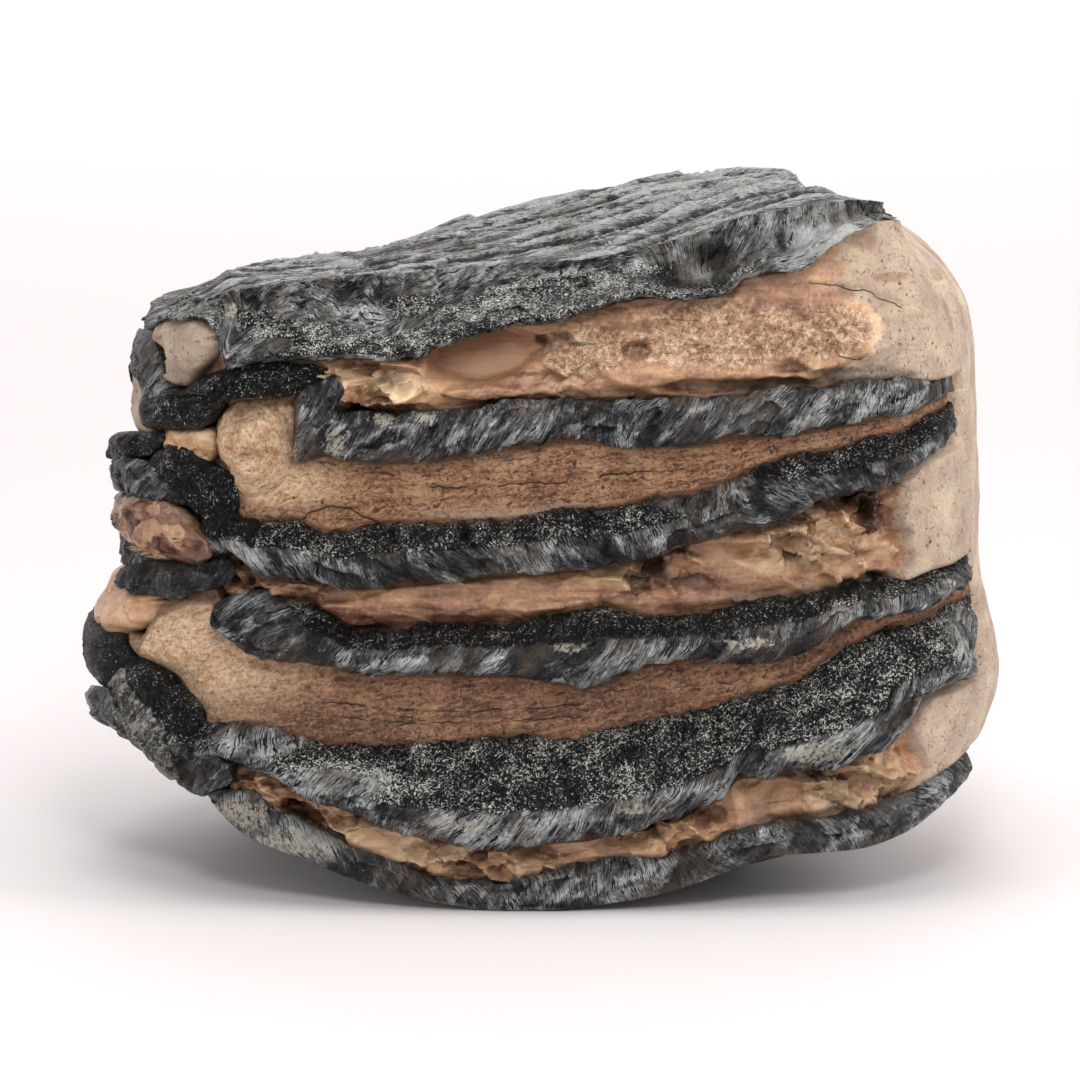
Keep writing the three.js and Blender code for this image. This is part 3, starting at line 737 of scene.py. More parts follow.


# Dentine: softer fossil ivory, worn flat. It looks like unglazed terracotta, matte, with fine
# level growth lines, a few pores and painted shade along the enamel edges.
dentineLook = {
    "light": "#D0A37C", "body": "#B27E59", "deep": "#8A5B41", "line": "#3C261B", "chalk": "#CDB298",
    # the dark brown for the edges is painted shade along the enamel edges
    "edgeShade": "#54351F", "hole": "#2A1A12", "tan": "#8F5F40", "pith": "#D8A678", "straw": "#F6DFC0",
    "growthLine": (9, 0.6, 1),      # mm, length and spacing of the growth lines
    "flake": (1.7, 0.34, 1),        # mm, length and height of a flake
    "flakeTurn": (0, 0, 0.22),      # radians that flakes slant
    "pore": 1.4,                    # mm between pores
}


# a ramp over soft clouds, with lines, flakes and grit laid over it, then light places,
# chalk, the dark of pores and cracks, and painted shade along the edges
def dentineMaterial(name, look=dentineLook):
    material, tree, shader = newMaterial(name)
    place, band = placeNodes(tree)
    edgeShade, chalk, light, crack = attributeNodes(tree, "edgeShade", "chalk", "light", "crack")
    cloud = noise(tree, place, 0.2, 4.0, 0.6)
    bent = add(tree, "CombineXYZ", {"Y": calc(tree, "MULTIPLY", cloud, 3.0)}).outputs[0]
    waved = add(tree, "VectorMath", {0: band, 1: bent}, operation="ADD").outputs[0]
    lines = noise(tree, drawn(tree, waved, look["growthLine"]), 1.0, 6.0, 0.66, 0.2)
    flake = noise(tree, drawn(tree, waved, look["flake"], look["flakeTurn"]), 1.0, 4.0, 0.7, 0.6)
    grit = noise(tree, place, 2.6, 6.0, 0.78)
    crumbs = noise(tree, place, 1.1, 3.0, 0.6, 0.5)
    tone = ramp(tree, weighed(tree, (cloud, 0.6), (lines, 0.25), (crumbs, 0.15)), look,
                (0.39, "deep"), (0.50, "body"), (0.60, "light"))
    # growth lines, hair lines, flakes and grit, laid over the tone one after another
    lineShare = calc(tree, "MULTIPLY", ranged(tree, lines, 0.43, 0.37, 0.9), ranged(tree, cloud, 0.62, 0.42))
    hairline = calc(tree, "MULTIPLY", contour(tree, lines, 0.012), ranged(tree, crumbs, 0.5, 0.6, 0.8))
    for share, over in ((lineShare, "line"), (hairline, "line"),
                        (ranged(tree, flake, 0.46, 0.37, 0.85), "line"),
                        (ranged(tree, flake, 0.53, 0.63, 0.8), "light"),
                        (ranged(tree, grit, 0.48, 0.39, 0.8), "line"),
                        (ranged(tree, grit, 0.53, 0.63, 0.7), "chalk")):
        tone = blend(tree, share, tone, look[over])
    lightTone = ramp(tree, weighed(tree, (grit, 0.5), (flake, 0.35), (crumbs, 0.15)), look,
                     (0.38, "tan"), (0.46, "pith"), (0.56, "straw"))
    # pores are round, each of its own size
    pore = add(tree, "TexVoronoi", {"Vector": place, "Scale": 1 / look["pore"]}).outputs
    own = add(tree, "SeparateColor", {0: pore["Color"]}).outputs[0]
    inPore = calc(tree, "SUBTRACT", ranged(tree, own, 0.35, 1.0, 0.15), pore["Distance"])
    dark = calc(tree, "MULTIPLY", most(tree, ranged(tree, inPore, 0.0, 0.03), crackShade(tree, crack)), 0.85)
    # laid over in turn: light places, chalk, the dark of pores and cracks, and painted shade along the enamel
    # edges
    for share, over in ((light, lightTone),
                        (ranged(tree, calc(tree, "MULTIPLY", chalk, grit), 0.25, 0.55, 0.6), look["chalk"]),
                        (dark, look["hole"]),
                        (ranged(tree, calc(tree, "MULTIPLY", edgeShade, grit), 0.2, 0.5, 0.8), look["edgeShade"])):
        tone = blend(tree, share, tone, over)
    finish(tree, shader, tone, 1.5, grit, 0.5, 0.85)
    bumps(tree, shader, (lines, 0.5, 0.6), (flake, 0.5, 0.7), (grit, 0.5, 0.9), (crumbs, 0.5, 0.6),
          (dark, -0.3, 0.8))
    return material


# Cementum: bone-like coat of the tooth. Where it broke between the plates it looks like brown
# toffee in glossy shards; its outer wall is smooth, pinkish beige, pitted and matte.
cementumLook = {
    # umber: the dark of cracks and seams, and the painted shade of grooves, hollows and gaps
    "umber": "#1F140F", "bark": "#4A3023", "toffee": "#775140", "amber": "#A0765B", "honey": "#C89C76",
    "cream": "#E3C19C", "wall": "#CDB49D", "wallPink": "#B89A88", "wallCream": "#DEC8AA",
    "pit": "#6E5142", "dust": "#9A7256", "woolDark": "#74503A", "woolBrown": "#A27B5D",
    "woolTan": "#C09B7C", "woolPale": "#E9D1B4",
    "curls": 42.0,               # turns the swirled noise into lines
    "layer": (9, 0.8, 1),        # mm, length and thickness of its layers
    "wander": 0.7,               # mm that the facets' edges are bent
    "facet": (2.9, 2.9, 1.7),    # mm of a broken facet, along X, Y and up
    "chip": (1.1, 1.1, 0.8),     # and of the chips over it
    "pitSpacing": 1.9,           # mm between pits of the wall
}


# three tones: the break, by its facets and grain, the wool over it by the share of fuzz, and
# the wall by its own share; then the dark of cracks and seams and the painted shade of grooves, hollows and
# gaps over all of them
def cementumMaterial(name, look=cementumLook):
    material, tree, shader = newMaterial(name)
    place, band = placeNodes(tree)
    wall, deep, fuzz, crack, light = attributeNodes(tree, "wall", "deep", "fuzz", "crack", "light")
    chunk, shardToneAndLight, polish, stain = attributeNodes(tree, "chunk", "shardToneAndLight", "polish", "stain")
    cloud = noise(tree, place, 0.26, 4.0, 0.6)
    layers = noise(tree, drawn(tree, band, look["layer"]), 1.0, 6.0, 0.66, 0.4)
    grit = noise(tree, place, 2.3, 6.0, 0.75)
    crumbs = noise(tree, place, 0.95, 4.0, 0.65, 1.2)
    # facets in two sizes, their edges bent a little
    wander = add(tree, "TexNoise", {"Vector": place, "Scale": 0.5, "Detail": 1.0}).outputs["Color"]
    bentPlace = add(tree, "VectorMath", {0: wander, 1: (look["wander"],) * 3, 2: place},
                    operation="MULTIPLY_ADD").outputs[0]
    facet, facetToneAndShading = facets(tree, drawn(tree, bentPlace, look["facet"]), 1.0)
    chip, chipToneAndShading = facets(tree, drawn(tree, bentPlace, look["chip"]), 1.0)
    # tone: grainy in the plain parts, faceted in the shards, even where the break is polished; in the shards
    # the facet tones are their own colour and also painted light that follows each facet's lean and height
    grainy = weighed(tree, (layers, 0.30), (cloud, 0.42), (grit, 0.28), (-0.02, 1.0))
    faceted = weighed(tree, (shardToneAndLight, 0.26), (facetToneAndShading, 0.26), (chipToneAndShading, 0.12), (grit, 0.12),
                      (cloud, 0.16), (0.085, 1.0))
    faceted = calc(tree, "SUBTRACT", faceted, grainy)
    # the light attribute lifts the tone in its spots: partly painted light and shade
    toneShare = calc(tree, "ADD", weighed(tree, (light, 0.12), (faceted, chunk)), grainy)
    dull = calc(tree, "SUBTRACT", 1.0, calc(tree, "MULTIPLY", polish, 0.8))
    toneShare = calc(tree, "MULTIPLY_ADD", toneShare, dull, calc(tree, "MULTIPLY", polish, 0.38))
    broken = ramp(tree, toneShare, look, (0.27, "bark"), (0.38, "toffee"), (0.46, "amber"),
                  (0.56, "honey"), (0.70, "cream"))
    # wool: curls are the level lines of a swirled noise, about 0.4 mm apart; its dark and pale stops are its
    # colour and also painted shadow and highlight among the fibres
    swirl = noise(tree, place, 0.6, 2.0, 0.55, 2.2)
    curls = calc(tree, "SINE", calc(tree, "MULTIPLY", swirl, look["curls"]))
    wool = weighed(tree, (grit, 0.5), (crumbs, 0.5), (curls, 0.045), (cloud, 0.2), (-0.1, 1.0))
    woolTone = ramp(tree, wool, look, (0.39, "woolDark"), (0.46, "woolBrown"), (0.53, "woolTan"),
                    (0.62, "woolPale"))
    fuzzShare = ranged(tree, weighed(tree, (crumbs, 0.8), (grit, 0.5), (fuzz, 1.0)), 0.75, 1.6)
    broken = blend(tree, fuzzShare, broken, woolTone)
    # outer wall, with pits, hair cracks, dark grit and a bloom of dust
    wallTone = ramp(tree, weighed(tree, (cloud, 0.7), (grit, 0.3)), look, (0.38, "wallPink"),
                    (0.50, "wall"), (0.62, "wallCream"))
    pit = add(tree, "TexVoronoi", {"Vector": place, "Scale": 1 / look["pitSpacing"]}).outputs
    pits = calc(tree, "MULTIPLY", ranged(tree, pit["Distance"], 0.17, 0.07), ranged(tree, grit, 0.44, 0.56))
    hair = calc(tree, "MULTIPLY", contour(tree, cloud, 0.006), ranged(tree, crumbs, 0.54, 0.64, 0.8))
    marks = most(tree, pits, hair, ranged(tree, grit, 0.39, 0.31, 0.6))
    bloom = weighed(tree, (crumbs, 0.6), (grit, 0.6), (stain, 0.34))
    wallTone = blend(tree, ranged(tree, bloom, 0.74, 0.90, 0.6), wallTone, look["dust"])
    wallTone = blend(tree, marks, wallTone, look["pit"])
    wallShare = ranged(tree, weighed(tree, (crumbs, 0.7), (grit, 0.5), (wall, 1.0)), 0.95, 1.15)
    both = blend(tree, wallShare, broken, wallTone)
    # dark seams between the layers of the plain parts and cracks, with the painted shade of the deep
    # attribute
    plain = calc(tree, "SUBTRACT", 1.0, most(tree, chunk, polish, wall))
    seams = calc(tree, "MULTIPLY", ranged(tree, layers, 0.38, 0.33, 0.8), plain)
    dark = calc(tree, "MULTIPLY", most(tree, deep, most(tree, crackShade(tree, crack), seams)), 0.9)
    matte = most(tree, wallShare, fuzz)
    glassy = calc(tree, "SUBTRACT", 1.0, matte)
    finish(tree, shader, blend(tree, dark, both, look["umber"]), 1.52, matte, 0.2, 0.6)

    # a weighed sum that counts only where the surface is glassy
    def glassier(*pairs):
        return calc(tree, "MULTIPLY", glassy, weighed(tree, *pairs))

    bumps(tree, shader, (layers, 0.5, weighed(tree, (glassy, 0.35), (chunk, -0.3))),
          (facet, 4.0, glassier((chunk, 0.9), (1.0, 0.08))),
          (chip, 0.7, glassier((chunk, 0.35), (1.0, 0.2))),
          (wool, 1.3, calc(tree, "MULTIPLY", fuzz, 0.28)),
          (grit, 0.55, weighed(tree, (matte, 0.6), (fuzz, -0.6), (1.0, 0.35))),
          (marks, -0.25, calc(tree, "MULTIPLY", wallShare, 0.7)))
    return material


# relief of broken enamel on a band: slanting fibre bundles, cross ribs, chips at the lips
# and granules where grain is 1; the second value, where it stands high, is painted light on high places and
# painted shade in low ones
def enamelRelief(tape, v, space, grain, recipe):
    seed = recipe["seed"]
    lean = tape - recipe["slant"] * v + 1.4 * tapeNoise(tape, v, 6, 4, seed)
    folds = np.abs(tapeNoise(lean, v, 2.6, 7.0, seed + 1)) * 2 - 0.6
    fibres = tapeNoise(lean, v, 0.62, 2.6, seed + 2)
    fine = tapeNoise(lean, v, 0.4, 1.6, seed + 3)
    chips = shards(lean, v, 2.8, 2.0, seed + 4, tapeLength)[0]
    lumps = spaceNoise(space, 4.5, seed + 5) * 0.55 + spaceNoise(space, 1.7, seed + 6) * 0.25
    silky = -0.32 * folds + 0.2 * fibres + 0.12 * fine + 0.42 * chips
    crystals = 0.24 * granules(tape, v, 0.6, seed + 7, tapeLength) + 0.16 * spaceNoise(space, 1.1, seed + 8)
    relief = mix(silky, crystals, grain)
    return relief + lumps * recipe.get("lumps", 1.0), np.clip(0.5 + relief, 0, 1)


# rounded lip: towards an edge the offset drops by a quarter circle of the lip's radius
def lipTuck(gap, radius):
    gap = np.clip(gap / radius, 0, 1)
    return radius * (1 - np.sqrt(1 - (1 - gap) ** 2))


# enamel band: the profile's offset between two ragged edges, plus relief, less the tucked
# lips; two buried rows close it behind into a ring
def enamelBand(name, recipe, material):
    tape = tapeColumns()
    rag, seed, slant = recipe["ragged"], recipe["seed"], recipe["slant"]
    low = edges[recipe["low"]](tape) + recipe["lift"] + rag * raggedLine(
        tape, (0.5, 2.3, seed + 20), (0.35, 0.8, seed + 21))
    high = edges[recipe["high"]](tape) + rag * raggedLine(
        tape, (0.4, 2.9, seed + 22), (0.35, 0.9, seed + 23), (0.3, 0.45, seed + 25))
    share, height, z, v = rowsBetween(low, high, recipe["rows"], 0.8)
    offset = curveThrough(recipe["profile"])(share + 0 * tape)
    grain = curveThrough(recipe["grain"])(share + 0 * tape)
    for place in recipe.get("smoothSpots", []):
        grain = grain * (1 - spot(tape, z, place))
    relief, reliefShading = enamelRelief(tape, v, onSide(tape, z, offset), grain, recipe)
    # a notch is a narrow groove with a low swelling beside it
    for t0 in recipe.get("notches", []):
        gap = tape - t0 - slant * 0.5 * v + 0.5 * faceNoise(tape, v, 3, 1.5, 77)
        relief = relief - 0.9 * np.exp(-(gap / 0.32) ** 2) + 0.35 * np.exp(-((gap - 1.2) / 1.0) ** 2)
    offset = offset + relief - lipTuck(np.minimum(v, height - v), recipe["lip"])
    offset = offset - recipe.get("leftDrop", 1.2) * leftEnd(tape)
    if "leftStop" in recipe:
        offset = offset - 4.5 * smooth(recipe["leftStop"], recipe["leftStop"] - 2.2, tape)
    # towards the wall it thins to a skin, then passes under
    wallStart = recipe["wall"] + 1.6 * faceNoise(z, 0 * tape, 1.6, 1, seed + 24)
    thin = smooth(wallStart - 7, wallStart, tape) * (1 - smooth(88, 96, tape))
    offset = mix(offset, 0.15 + 0.4 * (relief - 0.2), thin)
    offset = mix(offset, block["wallDepth"] + 0 * offset, wallCover(tape, wallStart))
    bright = spots(tape, z, recipe.get("bright", []))
    stain = smooth(0.9, 0.0, high - z) * recipe.get("stainHigh", 0.0)
    # relief shading: painted light on high places and painted shade in low ones, plus the lighter bright
    # spots, less where there is grain
    attributes = {"grain": grain, "reliefShading": reliefShading - recipe.get("dim", 0.0) * grain + 0.35 * bright,
                  "pale": np.clip(spots(tape, z, recipe.get("pale", [])), 0, 1), "stain": stain}
    addRing(name, tape, [low + 0.15 * height, z, high - 0.15 * height], offset, block["buried"],
            attributes, material, low, seed)


enamelLeft = enamelMaterial("enamelStrandsLeaningRight", 0.7)
enamelRight = enamelMaterial("enamelStrandsLeaningLeft", -0.6)
enamelTop = enamelMaterial("enamelStrandsLevel", 0.08)

highPlateOver = {
    "low": "highDentineHigh", "high": "highOver", "rows": 46, "wall": 45, "seed": 100, "lift": 0.3,
    "profile": [(0, 1.2), (0.35, 1.9), (0.75, 1.7), (1, 1.0)],
    "grain": [(0, 0.0), (1, 0.15)], "slant": 0.9, "ragged": 0.5, "lip": 0.9, "lumps": 0.8,
    "pale": [(-20.5, 47.5, 1.6, 2.4), (-19.5, 49.0, 1.6, 1.0), (-11, 50.5, 1.6, 0.8),
             (-15.5, 50.4, 2.4, 0.9)],
    "leftStop": -23.6, "bright": [(32, 51.5, 11, 2.5)],
}
highPlateUnder = {
    "low": "highUnder", "high": "highDentineLow", "rows": 50, "wall": 45, "seed": 140, "lift": 0.45,
    "profile": [(0, 0.8), (0.3, 2.0), (0.55, 1.5), (0.8, 0.4), (1, -0.6)],
    "grain": [(0, 0.0), (0.5, 0.0), (0.66, 1.0), (1, 1.0)], "slant": -0.7, "ragged": 0.5, "dim": 0.12,
    "lip": 0.8, "lumps": 0.9, "notches": [-12.5, -5.6, 7.4, -21.5],
    "smoothSpots": [(20, 42.5, 13, 3)], "stainHigh": 0.7, "bright": [(-2, 35, 6, 1.4), (-26, 36, 6, 2)],
}
lowPlateOver = {
    "low": "lowDentineHigh", "high": "lowOver", "rows": 50, "wall": 50, "seed": 180, "lift": 0.3,
    "profile": [(0, 1.3), (0.3, 2.3), (0.6, 1.2), (0.85, -0.4), (1, -1.4)],
    "grain": [(0, 0.0), (0.55, 0.0), (0.7, 0.9), (1, 1.0)], "slant": 0.7, "ragged": 0.6, "dim": 0.2,
    "lip": 0.8, "leftDrop": 2.2, "leftStop": -33.0,
    "pale": [(3, 27.5, 3, 0.8), (21, 28.0, 4, 0.8)],
    "bright": [(31, 30.5, 4, 2.2), (-27, 30, 5, 2.5), (-12, 25.5, 6, 1.6), (10, 26, 8, 1.6)],
}
lowPlateUnder = {
    "low": "lowUnder", "high": "lowDentineLow", "rows": 70, "wall": 50, "seed": 220, "lift": 0.5,
    "profile": [(0, 1.4), (0.25, 2.7), (0.5, 1.9), (0.75, 0.4), (1, -1.0)],
    "grain": [(0, 0.0), (0.3, 0.0), (0.44, 1.0), (1, 1.0)], "slant": 0.9, "ragged": 0.55,
    "lip": 0.9, "leftDrop": 1.5, "stainHigh": 0.6, "notches": [19.5],
    "pale": [(28, 16.7, 5.2, 1.8), (27, 16.7, 4, 1.2), (-8, 9.4, 6, 1.0), (10, 11.2, 4, 0.9)],
    "smoothSpots": [(46, 25, 6, 6), (38.5, 21, 5, 4), (-28, 17.6, 7, 2.6), (-22, 13, 9, 2.4)],
    "bright": [(46, 25, 6, 6), (-22, 13.5, 13, 2.6), (-28, 17.6, 7, 2.6), (14, 12, 9, 2.6), (2, 8.8, 16, 2.6),
               (34, 17, 9, 3.5), (-12, 9, 8, 2.5)],
}

enamelBand("highPlateOver", highPlateOver, enamelLeft)
enamelBand("highPlateUnder", highPlateUnder, enamelRight)
enamelBand("lowPlateOver", lowPlateOver, enamelLeft)
enamelBand("lowPlateUnder", lowPlateUnder, enamelLeft)


# bottom shell: a rounded enamel underside, flat where it rests, up to a ragged broken edge
bottomShell = {
    "restFlat": 0.38, "rings": 20, "rows": 24, "seed": 260, "slant": 0.5, "lip": 0.8, "wall": 50,
    "profile": [(0, 0.5), (0.35, 1.2), (0.7, 1.1), (1, 0.7)],
    "backHeight": 12.0,
    "pale": [(-31, 9.5, 5, 2.6), (-25, 6.5, 7, 2.0)],
    "bright": [(-25, 7.5, 13, 5), (-25, 7, 9, 3), (8, 2.5, 15, 2.5)],
}


# rings of the underside go out to the rim, the face's rows go up from it, and behind them the
# rows run back to a buried middle
def bottomShellPiece(name, recipe, material):
    tape, seed, restFlat = tapeColumns(1.15), recipe["seed"], recipe["restFlat"]
    low, high = edges["bottomLow"](tape), edges["bottomHigh"](tape)
    high = high + raggedLine(tape, (0.25, 1.1, seed))
    share, height, z, v = rowsBetween(low, high, recipe["rows"], 0.7, 0.03)
    offset = curveThrough(recipe["profile"])(share + 0 * tape)
    relief, reliefShading = enamelRelief(tape, v, onSide(tape + 0 * z, z, offset), 0 * z, recipe)
    cover = wallCover(tape, recipe["wall"])
    offset = offset + relief * 0.8 * smooth(0, 0.25, share) - lipTuck(high - z, recipe["lip"])
    face = onSide(tape + 0 * z, z, mix(offset, block["wallDepth"], cover))
    rim = onSide(tape, low, mix(0.3, block["wallDepth"], cover))
    middle = np.array(block["middle"])
    ringShare = ((np.arange(1, recipe["rings"]) / recipe["rings"]) ** 0.8)[:, None]
    xy = mix(middle, rim[..., :2], ringShare[..., None])
    lift = smooth(restFlat, 1, ringShare) ** 1.2
    rough = spaceNoise(np.concatenate([xy, 0 * xy[..., :1]], -1), 2.2, seed + 3)
    bump = 0.25 * (rough + 1) * smooth(restFlat, restFlat + 0.15, ringShare)
    under = np.concatenate([xy, (low * lift + bump * (1 - lift))[..., None]], -1)
    inner = onSide(tape, high - 0.2 * height, block["buried"] + 0 * tape)
    innerShare = np.array([0.85, 0.5])[:, None, None]
    backMiddle = np.array([*middle, recipe["backHeight"]])
    back = backMiddle * (1 - innerShare) + inner * innerShare
    points = np.concatenate([under, rim, face, inner, back])
    # v goes on down the underside by the distance from the rim
    radial = np.linalg.norm(under[..., :2] - middle, axis=-1)
    vRows = np.concatenate([low - (radial[-1:] - radial), low, z, high, high + 5, high + 20]) - low
    uv = np.stack([tape + 0 * vRows, vRows], axis=-1)
    # relief shading: painted light and shade from the relief, plus the lighter bright spots
    reliefShading = reliefShading + 0.35 * spots(tape, z, recipe["bright"])
    pale = np.clip(spots(tape, z, recipe["pale"]), 0, 1)
    attributes = {key: np.pad(rows, ((len(under) + 1, 3), (0, 0)), constant_values=fill)
                  for key, rows, fill in (("grain", 0 * z, 0.0), ("reliefShading", reliefShading, 0.5),
                                          ("pale", pale, 0.0), ("stain", 0 * z, 0.0))}
    mesh = gridMesh(name, points, uv, attributes, np.array([[*middle, 0.0], backMiddle]))
    addPiece(name, mesh, material)


bottomShellPiece("bottomPlate", bottomShell, enamelRight)


# top shell: a granular bevel that leans back to the crest, then the waved top face
topShell = {
    "rows": 50, "rings": 50, "seed": 300, "slant": 0.5, "lip": 0.7, "overhang": 1.5, "leftTuck": 1.8,
    "lean": [(-128, 2), (-70, 3), (-44, 1.5), (-34, 1.5), (-27, 5), (-20, 7), (0, 6), (20, 4.5),
             (38, 2.6), (46, 1.0), (58, 1.0), (70, 2), (128, 2)],
    "ledgeFrom": 10.0,      # tape mark where the bevel splits into a ledge and a steep scarp
    "floor": 52.0,          # height of its buried middle
    "buried": -6.0,         # offset of the rows behind the bevel
    "hollows": [(17, 66, 3.0, 2.0), (12, 64.5, 3, 1.4)], "bright": (29, 68.8, 13, 4.2),
    "pale": [(3.5, 63.8, 2.4, 1.4), (-33, 60.5, 3, 1.0)],
}
bevelLean = curveThrough(topShell["lean"])


# the bevel's offset is a proud lip less the lean, eased up the rows; on the ledge the lean
# comes early, so a steep scarp stands above it. Rings of the top face run in from the crest.
def topShellPiece(name, recipe, material):
    tape, seed = tapeColumns(1.1), recipe["seed"]
    low = edges["topLow"](tape) + 0.3 * tapeNoise(tape, 0 * tape, 2.6, 1, seed)
    low = low + raggedLine(tape, (0.15, 0.8, seed + 1))
    share, _, z, v = rowsBetween(low, edges["crest"](tape), recipe["rows"], 1.2)
    ledge = smooth(recipe["ledgeFrom"], recipe["ledgeFrom"] + 8, tape) * (1 - smooth(46, 54, tape))
    scarp = ledge * smooth(0.2, 0.32, share)
    leanShare = mix(smooth(0.05, 1, share), smooth(0.02, 0.24, share), ledge)
    proud = 1.6 * (1 - smooth(0.15, 0.5, share)) * (1 - smooth(28, 38, tape) * (1 - smooth(84, 92, tape)))
    offset = proud - bevelLean(tape) * leanShare - recipe["overhang"] * wallCover(tape, 44)
    offset = offset - recipe["leftTuck"] * leftEnd(tape, -41, -50)
    # grain lies in patches on the ledge and thins out towards the crest
    grain = (1 - scarp) * smooth(0.02, 0.12, share) * (1 - 0.8 * smooth(0.62, 0.8, share))
    patchy = smooth(-0.15, 0.35, tapeNoise(tape - 1.2 * v, v, 6, 1.5, seed + 32))
    grain = grain * (1 - 0.85 * patchy)
    relief, reliefShading = enamelRelief(tape, v, onSide(tape + 0 * z, z, offset), grain, recipe)
    steps = shards(tape + 0.4 * v, v * 2, 4.5, 3.2, seed + 30, tapeLength)[0]
    columns = tapeNoise(tape + 0.3 * v, v, 1.1, 6, seed + 31)
    hollow = spots(tape, z, recipe["hollows"])
    relief = relief + 0.55 * steps * (1 - scarp)
    relief = relief + scarp * (0.5 * columns - 0.2) - 1.3 * scarp * np.clip(hollow, 0, 1)
    bright = spot(tape, z, recipe["bright"])
    # painted shade in the scarp's hollows, painted light and shade along its columns, and the lighter bright
    # spot
    reliefShading = np.clip(reliefShading + 0.12 + 0.6 * scarp * columns - 0.5 * hollow * scarp + 0.7 * bright, -0.3, 1.5)
    buriedEnd = smooth(47, 52, tape) * (1 - smooth(82, 92, tape))
    relief = relief * (1 - 0.6 * smooth(60, 75, np.abs(tape)))
    offset = offset + relief - lipTuck(v, recipe["lip"]) - 2.0 * buriedEnd
    face = onSide(tape + 0 * z, z, offset)
    # top face
    rim = face[-1:]
    middle = np.array(block["middle"])
    ringShare = np.append(0.998, np.arange(recipe["rings"] - 1, 0, -1) / recipe["rings"])[:, None]
    xy = mix(middle, rim[..., :2], ringShare[..., None])
    x, y = xy[..., 0], xy[..., 1]
    waves, along, across = topWaves(x, y)
    flakes = shards(along, across * 2, 5.0, 2.6, seed + 40)[0]
    strands = faceNoise(along, across, 3.5, 0.5, seed + 41)
    pocks = granules(along, across, 1.1, seed + 42)
    near = 1 - 0.8 * smooth(30, 46, y)
    level = topLevel(x, y) + smooth(0.99, 0.93, ringShare) * (
        waves + near * (0.34 * flakes + 0.16 * strands + 0.14 * pocks))
    level = level - 1.5 * smooth(36, 39, x)
    rimStart = mix(0.9, 0.76, smooth(22, 31, x))
    topZ = mix(level, rim[..., 2] + 0 * level, smooth(rimStart, 1, ringShare))
    top = np.concatenate([xy, topZ[..., None]], -1)
    inner = onSide(tape, low + 0.4, recipe["buried"] + 0 * tape)
    innerShare = np.array([0.5, 0.85])[:, None, None]
    floorMiddle = np.array([*middle, recipe["floor"]])
    points = np.concatenate([floorMiddle * (1 - innerShare) + inner * innerShare, inner, face, top])
    uv = np.concatenate([np.stack([v[:3] - 8, tape + 0 * z[:3]], -1),
                         np.stack([mix(v, tape, scarp), mix(tape, v, scarp)], -1),
                         np.stack([across + 1.5 * topZ, along], -1)])
    # painted shading of the top face: crests of the waves, flakes and strands lighter, troughs darker
    topWaveShading = np.clip(0.63 + 1.6 * waves + 0.9 * flakes + 0.5 * strands, -0.3, 2.0)
    topGrain = 0.4 * smooth(0.1, 0.5, faceNoise(along, across, 8, 2.5, 62))
    topStain = 0.5 * smooth(0.35, 0.8, faceNoise(x, y, 5, 4, 61))
    pale = np.clip(spots(tape, z, recipe["pale"]), 0, 1)
    attributes = {key: np.concatenate([np.full((3, tape.shape[1]), first), faceRows, topRows])
                  for key, first, faceRows, topRows in (
                      ("grain", 0.0, grain, topGrain), ("reliefShading", 0.5, reliefShading, topWaveShading),
                      ("pale", 0.0, pale, 0 * x), ("stain", 0.0, 0 * z, topStain))}
    pole = np.array([floorMiddle, [*middle, float(topLevel(*middle))]])
    addPiece(name, gridMesh(name, points, uv, attributes, pole), material)


topShellPiece("topPlate", topShell, enamelTop)


# dentine core: a level band between two plates, worn flat, with growth lines, pores and cracks
highDentine = {
    "low": "highDentineLow", "high": "highDentineHigh", "rows": 38, "wall": 45, "seed": 400,
    "profile": [(0, -1.3), (0.15, -1.5), (0.5, -1.0), (0.85, -1.3), (1, -1.6)], "spread": 1.3,
    "chalk": [(-6, 40.6, 12, 1.1), (4, 41.2, 8, 0.9)], "light": [(-27, 43.5, 9, 4)],
    "cracks": [[(-25, 38.9), (-23.6, 40.3), (-21, 41.1), (-19.2, 40.9), (-17.4, 39.9), (-16.2, 39.2)],
               [(-14, 43.6), (-8, 43.2), (-1, 43.9), (3, 43.8)], [(6, 44.6), (13, 44.9)]],
}
lowDentine = {
    "low": "lowDentineLow", "high": "lowDentineHigh", "rows": 38, "wall": 50, "seed": 430,
    "profile": [(0, -1.6), (0.2, -1.5), (0.5, -1.1), (0.85, -1.4), (1, -1.7)], "spread": 1.3,
    "chalk": [(-12.5, 18.6, 2.5, 0.8)], "light": [(-39, 27, 22, 12)], "leftDrop": 0.0,
    "swell": [(-41, 27.2, 12, 5.5, 2.1), (-31, 22, 6, 4, 0.5)],
    "cracks": [[(-24, 21.6), (-16, 20.6), (-8, 20.4), (2, 20.9), (8, 21.6)],
               [(6, 22.6), (14, 23.0), (20, 23.4)], [(-20, 19.6), (-13, 19.2), (-6, 19.3)],
               [(-4, 19.4), (5, 19.9)]],
}


